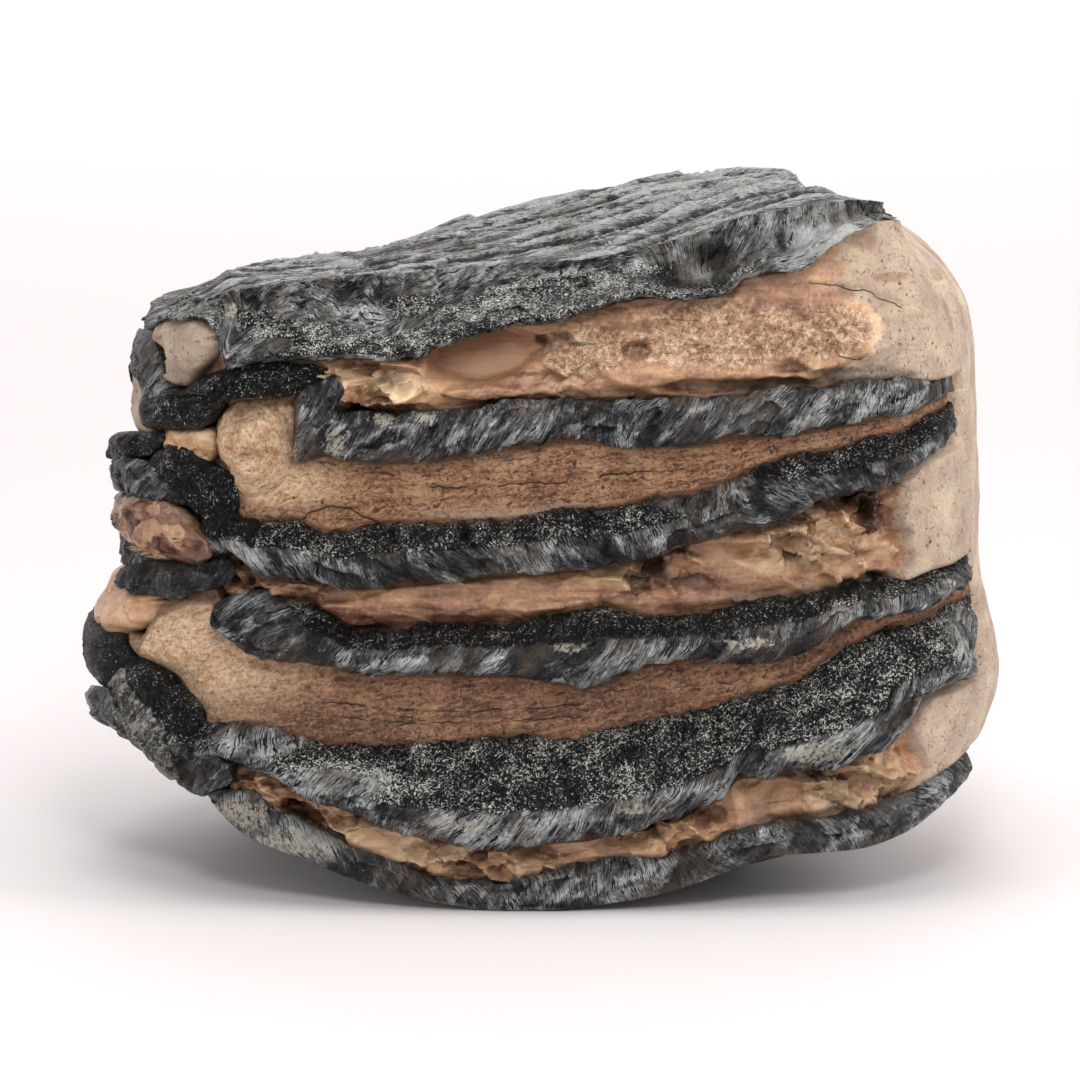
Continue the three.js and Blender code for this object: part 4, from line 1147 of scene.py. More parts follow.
# dentine band: the profile's offset plus level lines, lumps and swellings, less the cracks;
# it spreads a little under the enamel on each side
def dentineBand(name, recipe, material):
    tape, seed, spread = tapeColumns(1.3), recipe["seed"], recipe["spread"]
    low, high = edges[recipe["low"]](tape) - spread, edges[recipe["high"]](tape) + spread
    share, height, z, v = rowsBetween(low, high, recipe["rows"], 1.0)
    offset = curveThrough(recipe["profile"])(share + 0 * tape)
    space = onSide(tape + 0 * z, z, offset)
    lines = tapeNoise(tape, v, 16, 0.5, seed) * 0.10 + tapeNoise(tape, v, 9, 1.4, seed + 1) * 0.14
    lumps = spaceNoise(space, 5, seed + 2) * 0.3 + spaceNoise(space, 1.3, seed + 3) * 0.13
    lumps = lumps + 0.06 * tapeNoise(tape, v, 0.55, 0.4, seed + 5)
    # a crack opens and closes along its way
    opened = smooth(-0.5, 0.3, tapeNoise(tape, 0 * z, 1.7, 1, seed + 6))
    jag = raggedLine(tape, (0.12, 1.9, seed + 4), (0.12, 0.6, seed + 7))
    crack = lineSide(tape, z + jag, recipe["cracks"], 0.02 + 0.08 * opened)
    offset = offset + lines + lumps - 0.35 * opened * np.exp(-(crack / 2.5) ** 2)
    offset = offset + 0.9 * smooth(34, 42, tape) + spots(tape, z, recipe.get("swell", []))
    offset = offset - recipe.get("leftDrop", 1.0) * leftEnd(tape)
    offset = mix(offset, block["coreWallDepth"], wallCover(tape, recipe["wall"]))
    edgeGap = np.minimum(v, height - v) - spread
    # painted shade along the enamel edges, where the dentine lies in the recess under the lips
    attributes = {"edgeShade": 0.8 * smooth(0.7, 0.1, edgeGap), "crack": crack,
                  "chalk": np.clip(spots(tape, z, recipe["chalk"]), 0, 1),
                  "light": np.clip(spots(tape, z, recipe["light"]), 0, 1) * 0.9}
    addRing(name, tape, [low + 0.4, z, high - 0.4], offset, block["coreBuried"], attributes, material)


dentine = dentineMaterial("wornDentine")
# a darker copy of the dentine for the lower band: painted shade, as that band lies under the overhanging
# plate
shadedDentine = dentineMaterial("wornDentinePaintedShade", {
    **dentineLook, "light": "#BC8E69", "body": "#906449", "deep": "#6F4A36", "chalk": "#BDA085"})
dentineBand("highDentine", highDentine, dentine)
dentineBand("lowDentine", lowDentine, shadedDentine)


# cementum body: fills the grooves between the plates and wraps the right end. Each band of
# rows runs between two edges; rows under enamel are few and lie back out of sight.
cementumBody = {
    "seed": 500,
    # offsets of the foot, the hidden rows and the cap; how far it stays under the top face;
    # and the height of the underside's buried middle
    "foot": -2.4, "hidden": -3.4, "cap": -4.2, "underTop": 3.0, "floor": 9.0,
    # between two edges: rows, tape mark where the wall starts, kind, and for a broken band the
    # run over which the wall starts, the length that it is blended in before, and its profile
    "bands": [
        ("bottomHigh", "lowUnder", 20, 39, "broken", 1.6, 0, [(0, -1.1), (0.5, -1.7), (1, -1.9)]),
        ("lowUnder", "lowDentineLow", 6, 50, "hidden"),
        ("lowDentineLow", "lowDentineHigh", 3, 50, "hidden"),
        ("lowDentineHigh", "lowOver", 4, 50, "hidden"),
        ("lowOver", "highUnder", 27, 37.5, "broken", 1.4, 0,
         [(0, -2.8), (0.3, -2.2), (0.7, -2.0), (1, -2.6)]),
        ("highUnder", "highDentineLow", 4, 45, "hidden"),
        ("highDentineLow", "highDentineHigh", 3, 45, "hidden"),
        ("highDentineHigh", "highOver", 4, 45, "hidden"),
        ("highOver", "topLow", 44, 36, "broken", 4.0, 16,
         [(0, -1.4), (0.25, -0.9), (0.7, -0.9), (1, -1.8)]),
        ("topLow", "crest", 10, 45, "cap"),
    ],
    # (tape, z, half length, half height, change of offset, and for the smooth one its slope);
    # the stained places are (x, height) on the front with half sizes, the rest as hollows
    "hollows": [(-6.3, 56.9, 7.4, 3.4, -3.2, 0.17), (-14, 53.4, 3.4, 1.6, 1.2), (-5.5, 52.9, 4.5, 0.9, 1.0),
                (27, 11.6, 7.4, 4, -1.0), (20, 34.8, 13.5, 3, -0.6), (9.6, 57.3, 1.9, 1.1, -1.6),
                (10, 56.5, 5, 4.0, 1.3), (1.5, 58.2, 2.0, 0.9, -1.5), (25, 36.6, 7, 1.5, -1.8),
                (30, 42.5, 4, 2, -1.4), (5.0, 8.6, 8, 1.0, -1.8), (-20, 29.9, 5, 1.5, 0.8),
                (-14.5, 53, 3, 1.6, 1.1), (-23, 52.8, 2.5, 1.2, 0.9), (20, 53.5, 9, 0.8, -1.2)],
    "fuzz": [(18, 58.5, 14, 5.0), (4, 57, 6, 4), (30, 58.8, 7, 4.2)],
    "chunky": [(31, 40, 14, 9), (-24, 11, 13, 7), (-6, 5.5, 12, 5), (12, 9, 9, 5), (33, 13, 9, 6),
               (-19, 53.5, 10, 4), (3, 56, 5, 5), (31, 55.5, 9, 3), (-28, 33.5, 8, 5), (11, 35, 7, 5)],
    "bulges": [(66, 19, 28, 12, 2.2), (66, 40, 20, 8, 0.4)],
    # light: spots that lift the tone, and lower it where negative; partly painted light and shade, such as
    # the darker lower half of the ledge between the plates, left of the middle
    "light": [(27, 37.5, 6, 3, 1), (-22, 53.5, 6, 2, 1), (24, 62, 8, 3.0, -0.4), (-14, 53.4, 5, 2.2, 1.6),
              (-14, 29.4, 19, 2.0, -1.0), (14, 33, 7, 3, -0.6), (25, 36, 6, 3, 0.9), (34, 12, 10, 6, 0.8),
              (-12, 6, 22, 4, 0.9), (34, 41, 3, 4, -1.6), (36.5, 59, 5, 5, 1.0)],
    "steps": [(19.4, 9, 5, 0.7), (6.2, 33, 3, -0.45)],    # (tape, z, half height, rise to the right)
    "stained": [((33, 67.2), 3.0, 1.6), ((37, 68), 2.2, 3.0), ((39.5, 64.5), 5, 1.0),
                ((41, 60.5), 1.2, 3), ((35.5, 63.8), 4, 0.8), ((30.8, 61.8), 1.8, 1.4)],
    "cracks": [[(27, 63.6), (30, 63.5), (31.5, 63.1), (33, 62.9), (35, 61.8), (38, 60.8)],
               [(30, 56.5), (33, 55.9)]],
}


# the body's rows, band by band: z, offset, and the shares of wall, painted shade under the enamel lips,
# hidden and pale.
# Out on the wall the offset is that of the wall, which under the top plate leans in as it does.
def cementumRows(tape, recipe):
    seed = recipe["seed"]
    sunk = edges["bottomHigh"](tape) - 1.6
    rows = [[sunk, recipe["foot"] + 0 * sunk, 0 * sunk, 0 * sunk, 1 + 0 * sunk, 0 * sunk]]
    for lowEdge, highEdge, count, wallMark, kind, *more in recipe["bands"]:
        run, blend, profile = more or (4.0, 0, None)
        low, high = edges[lowEdge](tape), edges[highEdge](tape)
        share = (np.arange(count) / count)[:, None]
        z = low + share * np.maximum(high - low, 0.5)
        wallStart = wallMark + 1.5 * faceNoise(z, 0 * tape, 2.2, 1, seed + 12)
        wallStart = wallStart + 0.6 * faceNoise(z, 0 * tape, 0.7, 1, seed + 13)
        wall = cover = wallCover(tape, wallStart, run)
        offset, atWall, pale = recipe["hidden"] + 0 * z, 0 * z, 0 * z
        if kind == "broken":
            offset = curveThrough(profile)(share + 0 * tape)
        if kind == "cap":
            offset = -bevelLean(tape) * smooth(0.02, 0.6, share) + recipe["cap"]
            atWall = -bevelLean(tape) * smooth(0.1, 1, share) + 0 * z
            z = z - recipe["underTop"] * share * (1 - cover)
        if blend:
            toWall = smooth(wallStart - blend, wallStart, tape)
            wall = np.maximum(cover, 0.75 * toWall * (1 - smooth(88, 96, tape)))
            pale = 0.5 * toWall
        # painted shade along the bottom and top rows of each band, under the enamel lips
        lipShade = smooth(0.16, 0.0, share) + 0.8 * smooth(0.86, 1.0, share) + 0 * z
        rows.append([z, mix(offset, atWall, cover), wall, lipShade, 0 * z + (kind != "broken"), pale])
    return [np.concatenate(parts) for parts in zip(*rows)]


# change of offset in the hollows, 1 over most of each and eased to 0 at its half sizes; one
# with a slope follows it and is turned towards the light
def hollowed(tape, z, recipe):
    change, inHollow = 0 * z, 0 * z
    for t0, z0, halfT, halfZ, amount, *slope in recipe["hollows"]:
        edge = 0.22 * tapeNoise(tape, z, 3.0, 1.6, recipe["seed"] + 16)
        above = z - z0 - sum(slope) * (tape - t0)
        basin = smooth(1, 0.68, np.hypot((tape - t0) / halfT, above / halfZ) + edge)
        change = change + amount * basin * (1 + sum(slope) * 2 * np.clip(above / halfZ, -1, 1))
        inHollow = np.maximum(inHollow, basin * (amount < 0))
    return change, inHollow


# offset: rough shards, layers, steps and hollows where it is broken, woolly lumps in the
# fuzzy part, and on the wall a smooth skin with bulges and pits; the top is closed by rings
# that follow the top plate from below
def cementumPiece(name, recipe, material):
    tape, seed = tapeColumns(1.15), recipe["seed"]
    z, offset, wall, lipShade, hidden, pale = cementumRows(tape, recipe)
    # painted shade under the enamel lips, only where the band is broken and not wall
    deep = lipShade * (1 - hidden) * (1 - wall) * 0.7
    change, inHollow = hollowed(tape, z, recipe)
    space = onSide(tape + 0 * z, z, offset)
    bent = z + 0.3 * tapeNoise(tape, z, 3, 2, seed + 14)
    swung = tape + 0.5 * tapeNoise(tape, z, 2.4, 1.7, seed + 15)
    big, bigTint, bigGap = shards(swung + 0.6 * z, bent, 4.2, 2.6, seed, tapeLength, 1.5)
    small, smallTint, smallGap = shards(swung - 0.4 * z, bent * 1.1, 1.7, 1.1, seed + 1, tapeLength, 1.2)
    level = tapeNoise(tape, z, 8, 0.7, seed + 2)
    lumps = spaceNoise(space, 6, seed + 3)
    fuzz = np.clip(spots(tape, z, recipe["fuzz"]), 0, 1)
    wall = wall * (1 - fuzz * smooth(0.9, 0.7, wall))
    wool = tapeNoise(tape + 0.5 * z, z, 0.9, 0.4, seed + 5) + tapeNoise(tape - 0.6 * z, z, 0.5, 0.5, seed + 6)
    chunky = np.clip(spots(tape, z, recipe["chunky"]), 0, 1)
    # gaps open between some of the shards
    split = smooth(0.12, 0.0, bigGap) * (bigTint > 0.42)
    split = split + 0.4 * smooth(0.12, 0.0, smallGap) * (smallTint > 0.55)
    rough = mix(0.5, 2.6, chunky) * (0.78 * big + 0.22 * small) + 0.18 * level + 0.35 * lumps
    rough = rough - 0.45 * chunky * split
    for t0, z0, halfZ, rise in recipe["steps"]:
        bend = 0.4 * faceNoise(z, 0 * tape, 1.5, 1, seed + 17)
        rough = rough + rise * smooth(-0.3, 0.3, tape - t0 - bend) * smooth(t0 + 9, t0 + 2, tape) * smooth(
            halfZ + 1, halfZ, np.abs(z - z0))
    polish = inHollow * (tape < 0)
    rough = rough * (1 - 0.85 * polish)
    rough = mix(rough, 0.5 * lumps + 0.34 * wool + 0.25 * small + 0.12 * big, fuzz)
    pits = scattered(tape, z, 2.2, 1.8, seed + 7, tapeLength)
    pitted = smooth(0.3, 0.08, pits[0]) * (pits[4] > 0.75)
    skin = 0.35 * spaceNoise(space, 9, seed + 8) + 0.12 * spaceNoise(space, 1.6, seed + 9) - 0.25 * pitted
    for t0, z0, halfT, halfZ, amount in recipe["bulges"]:
        skin = skin + amount * smooth(1, 0, np.hypot((tape - t0) / halfT, (z - z0) / halfZ))
    jag = raggedLine(tape, (0.2, 2.3, seed + 18), (0.1, 0.6, seed + 19))
    crackLine = lineSide(tape, z + jag, recipe["cracks"], 0.08)
    cracks = np.exp(-(crackLine / 4) ** 2) * (1 - hidden * (1 - wall))
    offset = offset + mix((rough + change) * (1 - hidden), skin, wall) - 0.3 * cracks
    offset = offset - 2.4 * leftEnd(tape)
    # more painted shade: in low places of the relief, in the hollows right of the middle, and in the gaps
    # between shards
    deep = deep + smooth(-0.3, -0.9, rough) * 0.4 * (1 - wall)
    deep = deep + smooth(0.5, 0.9, inHollow) * (tape > 0) * 0.25 + 0.45 * chunky * split * (1 - wall)
    # painted highlight along the edges of the higher big shards
    rim = 0.24 * smooth(0.11, 0.02, bigGap) * (bigTint > 0.46)
    # each shard's own tone, with higher shards also painted lighter; the fuzz evens it out
    shardToneAndLight = mix(0.7 * bigTint + 0.3 * smallTint + rim * chunky, 0.5, fuzz)
    # painted light on the lower rim of the smooth hollow left of the middle
    rimPaintedLight = np.clip(1 - np.abs(inHollow - 0.3) / 0.3, 0, 1) * (tape < 0) * (z < 56)
    stained = [(*onFront([at])[0], *half) for at, *half in recipe["stained"]]
    body = onSide(tape + 0 * z, z, offset)
    # rings of the top and the underside
    middle, topRings = np.array(block["middle"]), 9
    ringShare = (np.arange(topRings, 0, -1) / (topRings + 1))[:, None]
    xy = mix(middle, body[-1:, :, :2], ringShare[..., None])
    capZ = topLevel(xy[..., 0], xy[..., 1]) - recipe["underTop"] + 2.6 * smooth(33.5, 37, xy[..., 0])
    capZ = mix(capZ, body[-1:, :, 2] + 0 * capZ, smooth(0.75, 1, ringShare))
    top = np.concatenate([xy, capZ[..., None]], -1)
    lowShare = np.array([0.3, 0.7, 0.92])[:, None, None]
    pole = np.array([[*middle, recipe["floor"]],
                     [*middle, float(topLevel(*middle)) - recipe["underTop"]]])
    points = np.concatenate([pole[0] * (1 - lowShare) + body[:1] * lowShare, body, top])
    allZ = np.concatenate([body[:1, :, 2] + np.array([[-6.0], [-4], [-2]]), z,
                           z[-1:] + np.arange(1, topRings + 1)[:, None] * 3.0])
    uv = np.stack([tape + 0 * allZ, allZ], axis=-1)
    attributes = {key: np.pad(rows, ((len(lowShare), topRings), (0, 0)), constant_values=(0.0, end))
                  for key, rows, end in (
                      ("wall", wall, 1.0), ("deep", np.clip(deep, 0, 1), 0.0),
                      ("fuzz", fuzz * (1 - wall), 0.0), ("crack", crackLine, noCrack),
                      ("shardToneAndLight", shardToneAndLight, 0.5), ("polish", polish, 0.0),
                      ("stain", np.clip(spots(tape, z, stained), 0, 1), 0.0),
                      ("light", spots(tape, z, recipe["light"], pale + 1.0 * rimPaintedLight), 0.0),
                      ("chunk", (0.15 + 0.8 * chunky) * (1 - fuzz) * (1 - polish), 0.0))}
    addPiece(name, gridMesh(name, points, uv, attributes, pole), material)


cementum = cementumMaterial("cementumWallAndShards")
cementumPiece("cementum", cementumBody, cementum)


# broken pieces of the left end, each a closed pillow: from its middle out to a given
# outline the front falls as a dome, and behind it the rings run back to a buried middle.
# Out is the offset of the rim, dome the height of the middle over it, fall the dome's power,
# lean its tilt along the tape and up, and buried how far behind the rim it closes.
leftEndUsual = {"kind": "enamel", "buried": 4.5, "lean": (0, 0), "fall": 4.5, "grain": 0.0,
                "dark": 0.0, "pale": 0.0, "wall": 0.0, "shade": 0.1, "light": 0.0}
leftEndPieces = {
    "tanChunk": {
        "kind": "cementum", "out": -0.3, "dome": 1.4, "fall": 7, "wall": 0.8, "seed": 610,
        "shade": 0.2, "lean": (0.5, 0.3),
        "outline": [(-38.8, 58.8), (-37, 60.1), (-34.8, 60.3), (-32, 58.9), (-31.6, 57.8), (-32, 56),
                    (-33.5, 54.8), (-35, 53), (-36, 52.8), (-37, 53.3), (-37.4, 55), (-38, 57)]},
    "leftStrip": {
        "out": 0.0, "dome": 0.8, "seed": 620,
        "outline": [(-40.6, 58.3), (-39, 58.2), (-37.8, 55.5), (-37.2, 53.1), (-35.7, 52),
                    (-34.5, 50.5), (-36, 49.2), (-38.5, 49.8), (-39.5, 53), (-40.4, 55.5)]},
    "grainShelf": {
        "out": 0.2, "dome": 1.6, "grain": 1.0, "dark": 0.45, "seed": 630, "lean": (0, -0.6),
        "outline": [(-30.5, 55.1), (-28, 55.5), (-25.5, 55.1), (-22, 54.8), (-21.3, 53.8), (-24, 52),
                    (-26.5, 52), (-29, 51.7), (-31.5, 51.2), (-33.5, 48.8), (-37.5, 48.8),
                    (-39, 49.5), (-39.2, 51.3), (-37.5, 52.3), (-35.3, 52.7), (-33.5, 53.9)]},
    "dentineKnob": {
        "kind": "dentine", "out": -2.3, "dome": 4.0, "fall": 2.0, "seed": 640,
        "light": 1.0, "lean": (-0.2, 0),
        "folds": [[(-30.3, 50.3), (-30.1, 48), (-30.6, 46.6)], [(-29.5, 46.0), (-27, 46.3), (-25, 45.2)]],
        "outline": [(-33.5, 48.3), (-33, 49.7), (-32, 51), (-30.5, 51.9), (-28.5, 51.7),
                    (-26.5, 52.2), (-24.8, 51.7), (-24.2, 50.5), (-24, 49.5), (-24.3, 47.5),
                    (-23.8, 45.5), (-24.4, 43.0), (-27, 41.2), (-29.5, 40.5), (-31.2, 42),
                    (-31.8, 44.5), (-33.2, 46)]},
    "brokenEnd": {
        "out": 0.4, "dome": 1.7, "seed": 650, "lean": (0.8, 0),
        "outline": [(-24.5, 51.8), (-22, 53.5), (-20.3, 54), (-19.3, 52.5), (-20.5, 50.5),
                    (-21.2, 46.3), (-24.8, 46.2), (-24.2, 48.5)]},
    "upperBlack": {
        "out": 0.2, "dome": 0.9, "grain": 1.0, "dark": 0.6, "seed": 660,
        "lean": (-0.4, 0.3),
        "outline": [(-38.3, 44.5), (-37.8, 46.3), (-35.5, 46.9), (-33.5, 45.5), (-31, 44),
                    (-30.4, 42), (-30.6, 40), (-32.5, 39), (-35, 41), (-36, 42.8)]},
    "lowerBlack": {
        "out": 0.0, "dome": 0.9, "grain": 1.0, "dark": 0.7, "seed": 670,
        "outline": [(-33.7, 40), (-31.5, 41.5), (-30.4, 39.8), (-28.3, 39.3), (-28.3, 37.2),
                    (-30, 36.0), (-32.2, 36.0), (-33.7, 38)]},
    "topGrain": {
        "out": 0.9, "dome": 1.0, "grain": 1.0, "dark": 0.4, "seed": 680,
        "outline": [(-42.1, 48), (-40, 48.4), (-37.1, 48.1), (-37.6, 46.8), (-39.5, 45.7),
                    (-41.5, 45.3), (-42.1, 46.5)]},
    "greyFragment": {
        "out": 1.1, "dome": 1.1, "seed": 690, "lean": (0, 0.3),
        "outline": [(-42.8, 44.7), (-41.8, 45.7), (-40, 46), (-37.8, 44.7), (-36, 43), (-35, 41.2),
                    (-36.5, 41), (-38.3, 41.5), (-40.3, 42.3), (-42.5, 43)]},
    "brownShard": {
        "kind": "cementum", "out": 1.5, "dome": 1.2, "seed": 700, "shade": 0.2,
        "light": -1.0, "lean": (0.2, 0),
        "outline": [(-41.9, 42.2), (-41.2, 42.7), (-39.5, 42.1), (-37.5, 41.6), (-35.3, 40.9),
                    (-33.6, 38.7), (-32.3, 36.5), (-33, 35.3), (-35, 35.5), (-37.3, 35.8),
                    (-39.3, 37.1), (-40.8, 39.3), (-41.7, 40.7)]},
    "darkUnder": {
        "out": 0.2, "dome": 0.7, "seed": 710,
        "outline": [(-41.7, 39.7), (-40, 38.8), (-38.9, 37), (-37.3, 35.8), (-38.5, 34.9),
                    (-40.7, 34.7), (-41.6, 36.7)]},
    "blackKnob": {
        "out": 0.3, "dome": 1.5, "seed": 720, "lean": (0, -0.5), "dark": 1.0,
        "outline": [(-41.2, 33.8), (-40.9, 35), (-38.5, 35.7), (-35.5, 35.4), (-33.5, 35),
                    (-31.8, 35.6), (-30.5, 33.9), (-32, 32.7), (-34.5, 32.3), (-36, 31.5),
                    (-38.5, 32), (-40.5, 32.3)]},
    "cementBoss": {
        "kind": "cementum", "out": -0.2, "dome": 2.4, "wall": 0.2, "seed": 730,
        "chunk": 0.1, "light": 0.5,
        "outline": [(-42.6, 33.5), (-41.8, 35.5), (-40.6, 34), (-38.3, 32.2), (-37.2, 31.3),
                    (-38.5, 29.5), (-40.6, 28.2), (-42.2, 27.5), (-43, 30)]},
    "plateKnob": {
        "out": 0.6, "dome": 1.9, "seed": 740, "lean": (0, 0.2),
        "outline": [(-32.3, 30.8), (-31.3, 31.6), (-29.8, 32), (-28.5, 32.5), (-27.2, 32.2),
                    (-25.5, 31), (-23.5, 29.5), (-23, 27.3), (-25.5, 26.2), (-28.5, 26.6),
                    (-31, 28), (-32.4, 29.4)]},
    "tanStrip": {
        "kind": "cementum", "out": 0.0, "dome": 0.7, "wall": 0.9, "seed": 745,
        "outline": [(-41.1, 56), (-40.2, 56.2), (-39.4, 54), (-38.9, 51.5), (-38.7, 48.4),
                    (-40.1, 48.3), (-40.6, 50.5), (-41, 53)]},
    "sideNub": {
        "out": 0.6, "dome": 0.8, "seed": 746,
        "outline": [(-41.5, 55.2), (-40.7, 55.2), (-40.6, 53.4), (-41.5, 53.1)]},
    "tanWedge": {
        "kind": "cementum", "out": -0.4, "dome": 1.0, "wall": 0.2, "seed": 747,
        "outline": [(-37.8, 48.7), (-35, 48.8), (-33, 48.4), (-32.8, 45.6), (-35, 45.4), (-37.4, 46.6)]},
    "lowBlack": {
        "out": 0.3, "dome": 1.4, "grain": 1.0, "dark": 0.5, "seed": 750,
        "outline": [(-40.6, 25.5), (-39, 25.4), (-37.5, 24.3), (-36.3, 22.5), (-34.6, 21),
                    (-34.0, 18.7), (-34.3, 16.6), (-35.5, 16.0), (-36.6, 17), (-37.0, 19.5),
                    (-38.2, 21.6), (-39.8, 23.2)]},
    "mottledMass": {
        "out": 1.5, "dome": 1.5, "grain": 0.15, "seed": 760, "pale": 0.55,
        "outline": [(-40.7, 24.7), (-39.3, 23.9), (-37.8, 22), (-36.6, 19.5), (-36.3, 17),
                    (-35.5, 15), (-35.4, 13.4), (-36.9, 13.6), (-38.2, 15.4), (-40.2, 17.8),
                    (-40.0, 20.5), (-40.9, 22.5)]},
    "leftBlack": {
        "out": 0.9, "dome": 1.7, "grain": 0.7, "dark": 0.4, "seed": 770,
        "outline": [(-45.0, 29.5), (-44.3, 31.6), (-42.7, 31.5), (-42, 29.3), (-40.7, 27.5),
                    (-40.4, 25.5), (-40.8, 22.5), (-43.8, 22.3), (-44.8, 24.5), (-45.2, 27)]},
    "leftFoot": {
        "out": 2.9, "dome": 1.2, "seed": 780,
        "outline": [(-43.8, 22.8), (-41, 22.7), (-40.0, 19.5), (-38.4, 17.2), (-36.8, 15.2),
                    (-37.8, 15.3), (-39.6, 16.7), (-41.6, 18.5), (-43.0, 20.5)]},
    "footShard": {
        "out": 0.6, "dome": 1.1, "seed": 790,
        "outline": [(-35.9, 14.8), (-34.3, 16.3), (-32, 15.9), (-30.8, 14.5), (-31.1, 13),
                    (-33.5, 11.9), (-35.2, 12.9)]},
}


# strands or grain, with the painted light and shade of the relief, which a dark piece dims
def brokenEnamel(tape, z, space, radius, middle, recipe):
    grain = recipe["grain"] + 0 * tape
    relief, reliefShading = enamelRelief(tape, z, space, grain, {"seed": recipe["seed"], "slant": 0.5})
    return relief, {"grain": grain, "reliefShading": reliefShading * (1 - 0.7 * recipe["dark"]),
                    "pale": recipe["pale"], "stain": 0}


# layers that swirl round the middle, with folds pressed in along lines
def brokenDentine(tape, z, space, radius, middle, recipe):
    seed = recipe["seed"]
    around = np.arctan2(z - middle[1], tape - middle[0])
    reach = np.hypot(z - middle[1], tape - middle[0])
    swirl = faceNoise(reach * 1.0 + 0.8 * np.cos(around * 2), around, 0.7, 1.2, seed)
    relief = 0.42 * swirl + 0.6 * spaceNoise(space, 2.8, seed + 2) + 0.26 * spaceNoise(space, 0.9, seed + 3)
    foldGap = lineGap(tape, z, [fromCamera(line, 0) for line in recipe["folds"]])
    # painted shade towards the knob's rim, where it meets the pieces round it
    return relief - 1.1 * np.exp(-(foldGap / 0.5) ** 2), {
        "edgeShade": smooth(0.8, 1.0, radius), "chalk": 0, "light": recipe["light"], "crack": noCrack}


# flat shards, quieter where it is wall and on the block's side
def brokenCementum(tape, z, space, radius, middle, recipe):
    seed, wall = recipe["seed"], recipe["wall"]
    swung = tape + 0.4 * z + 0.6 * faceNoise(tape, z, 1.6, 1.3, seed + 4)
    # the shard tone: their own tone, with higher shards also painted lighter
    plane, shardToneAndLight, _ = shards(swung, z, 3.2, 2.2, seed, 0.0, 0.8)
    relief = 0.95 * plane + 0.3 * spaceNoise(space, 2.5, seed + 1) + 0.2 * spaceNoise(space, 0.8, seed + 2)
    relief = relief * (1.15 - 0.75 * wall) * (1 - 0.75 * smooth(-42, -49, tape))
    # deep: darker overall by the piece's shade number, and painted shade towards its rim, where it meets the
    # pieces round it
    return relief, {"wall": wall, "deep": recipe["shade"] + 0.4 * smooth(0.85, 1, radius), "fuzz": 0,
                    "crack": noCrack, "polish": 0, "shardToneAndLight": shardToneAndLight, "stain": 0, "light": recipe["light"],
                    "chunk": recipe.get("chunk", 1 - wall)}


# tape and z run from the middle to the outline, whose reach wavers by a twentieth; offset:
# a dome that falls with a power of the radius, tilted by its lean, and the kind's relief,
# which fades at the rim
def leftEndPiece(name, recipe):
    recipe = {**leftEndUsual, **recipe}
    out, behind = recipe["out"], recipe["out"] - recipe["buried"]
    shape, material = leftEndKinds[recipe["kind"]]
    span = closedCurve(fromCamera(recipe["outline"], out)[::-1], 10)   # outlines run clockwise
    middle = span.mean(0)
    rings, backRings = 25, 4
    radius = (np.arange(rings, 0, -1) / rings)[:, None]
    around = 0.25 * np.arange(len(span))[None, :]
    rim = 1 + 0.05 * faceNoise(around, 0 * radius, 1, 1, recipe["seed"], 0.25 * len(span))
    tape, z = [mix(centre, mix(centre, edge, radius), rim) for centre, edge in zip(middle, span.T)]
    offset = out + recipe["dome"] * (1 - radius ** recipe["fall"])
    for lean, away in zip(recipe["lean"], (tape - middle[0], z - middle[1])):
        offset = offset + lean * away * 0.3
    relief, attributes = shape(tape, z, onSide(tape, z, offset), radius, middle, recipe)
    offset = offset + relief * mix(0.12, 1, smooth(1.0, 0.75, radius))
    backRadius = (np.arange(1, backRings + 1) / (backRings + 1))[:, None]
    allTape = np.concatenate([mix(middle[0], tape[:1], backRadius), tape])
    allZ = np.concatenate([mix(middle[1], z[:1], backRadius), z])
    points = onSide(allTape, allZ, np.pad(offset, ((backRings, 0), (0, 0)), constant_values=behind))
    poles = np.stack([onSide(*middle, behind), onSide(*middle, float(offset[-1].mean()))])
    attributes = {key: np.pad(values + 0 * tape, ((backRings, 0), (0, 0)), "edge")
                  for key, values in attributes.items()}
    # the dentine's growth lines go round, the others follow z
    grown = allZ
    if recipe["kind"] == "dentine":
        grown = 1.4 * np.hypot(allTape - middle[0] + 1.5, allZ - middle[1])
    mesh = gridMesh(name, points, np.stack([allTape, grown], axis=-1), attributes, poles)
    addPiece(name, mesh, material)


leftEndKinds = {"enamel": (brokenEnamel, enamelLeft), "dentine": (brokenDentine, dentine),
                "cementum": (brokenCementum, cementum)}
for pieceName, recipe in leftEndPieces.items():
    leftEndPiece(pieceName, recipe)

studio = {
    "distance": 700.0, "viewWidth": 108.0, "aimHeight": 38.1, "floorTone": "#D6D0D0",
    "skyTone": "#FFFFFF", "skyStrength": 0.78, "sensor": 36.0,
    # the paper alone is in metres
    "paper": {"halfWidth": 1.6, "front": -1.6, "bendStart": 1.5, "bendRadius": 0.5, "top": 2.4},
    "lamps": [    # name, place, aim, size, watts
        ("overhead", (-20, -80, 430), (0, 0, 30), 260, 0.70),
        ("frontKey", (40, -430, 330), (0, 0, 30), 120, 0.95),
        ("leftFill", (-400, -300, 120), (0, 0, 30), 240, 0.20),
        ("rightFill", (420, -110, 300), (20, 20, 0), 260, 1.1),
        ("backWash", (0, 1000, 700), (0, 1000, 0), 1100, 7.4),
    ],
}


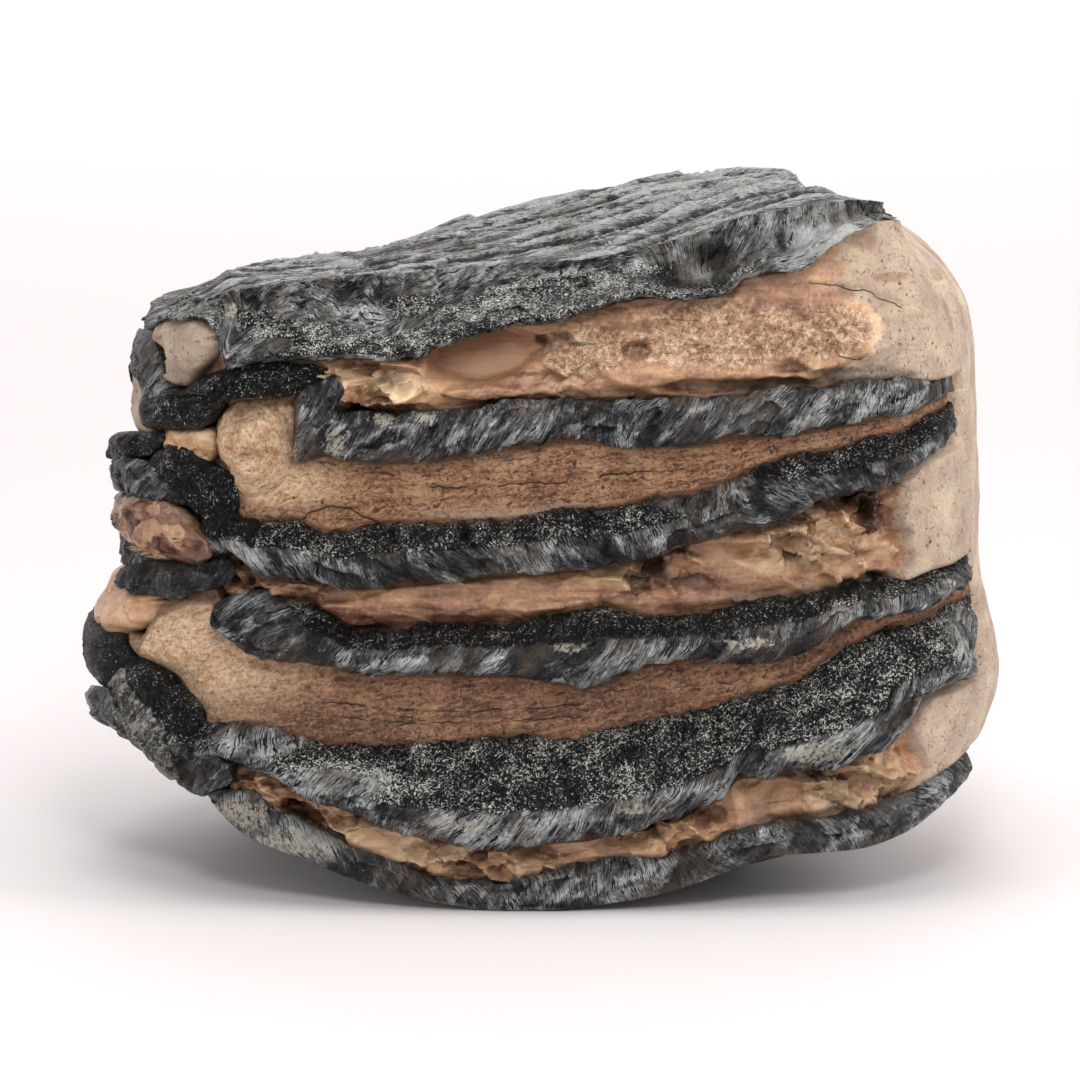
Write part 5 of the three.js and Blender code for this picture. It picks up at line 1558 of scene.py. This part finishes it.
# white paper that curves up behind: level, a quarter circle, then upright
def paperSweep(name, tone, sizes):
    bend = np.linspace(0, math.pi / 2, 24)
    centre, reach = (sizes["bendStart"], sizes["bendRadius"]), sizes["bendRadius"]
    curve = zip(centre[0] + reach * np.sin(bend), centre[1] - reach * np.cos(bend))
    run = [(sizes["front"], 0.0), *curve, (centre[0] + reach, sizes["top"])]
    places = [(x, y, z) for x in (-sizes["halfWidth"], sizes["halfWidth"]) for y, z in run]
    i = np.arange(len(run) - 1)
    faces = np.stack([i, i + len(run), i + len(run) + 1, i + 1], 1)
    mesh = bpy.data.meshes.new(name)
    mesh.from_pydata(places, [], faces.tolist())
    mesh.polygons.foreach_set("use_smooth", np.ones(len(faces), bool))
    material, _, shader = newMaterial("mattePaper")
    shader.inputs["Base Color"].default_value = linear(tone)
    shader.inputs["Roughness"].default_value = 0.9
    mesh.materials.append(material)
    paper = bpy.data.objects.new(name, mesh)
    bpy.context.scene.collection.objects.link(paper)


paperSweep("paper", studio["floorTone"], studio["paper"])


# a lamp or a camera looks along its own -Z, from its place to the aim, with Y upwards
def pointAt(thing, place, aim):
    thing.location = place
    thing.rotation_mode = "QUATERNION"
    thing.rotation_quaternion = (Vector(aim) - Vector(place)).to_track_quat("-Z", "Y")


# round soft lamps, and a plain white room that lights the shadows
def addLamps(recipe):
    for name, place, aim, size, watts in recipe["lamps"]:
        lamp = bpy.data.lights.new(name, "AREA")
        lamp.shape, lamp.size, lamp.energy = "DISK", size * mm, watts
        thing = bpy.data.objects.new(name, lamp)
        bpy.context.scene.collection.objects.link(thing)
        pointAt(thing, np.array(place) * mm, np.array(aim) * mm)
    world = bpy.data.worlds.new("softRoom")
    world.use_nodes = True
    sky = world.node_tree.nodes["Background"].inputs
    sky["Color"].default_value = linear(recipe["skyTone"])
    sky["Strength"].default_value = recipe["skyStrength"]
    bpy.context.scene.world = world


addLamps(studio)

camera = bpy.data.objects.new("camera", bpy.data.cameras.new("camera"))
bpy.context.scene.collection.objects.link(camera)
aim = np.array([*block["shift"][:2], studio["aimHeight"]])
back = np.array([0, -math.cos(tilt), math.sin(tilt)])
pointAt(camera, (aim + back * studio["distance"]) * mm, aim * mm)
camera.data.sensor_width = studio["sensor"]
camera.data.lens = studio["sensor"] * studio["distance"] / studio["viewWidth"]
camera.data.clip_start, camera.data.clip_end = 0.05, 20.0
bpy.context.scene.camera = camera
bpy.context.scene.view_settings.view_transform = "Standard"
print("lights and camera")
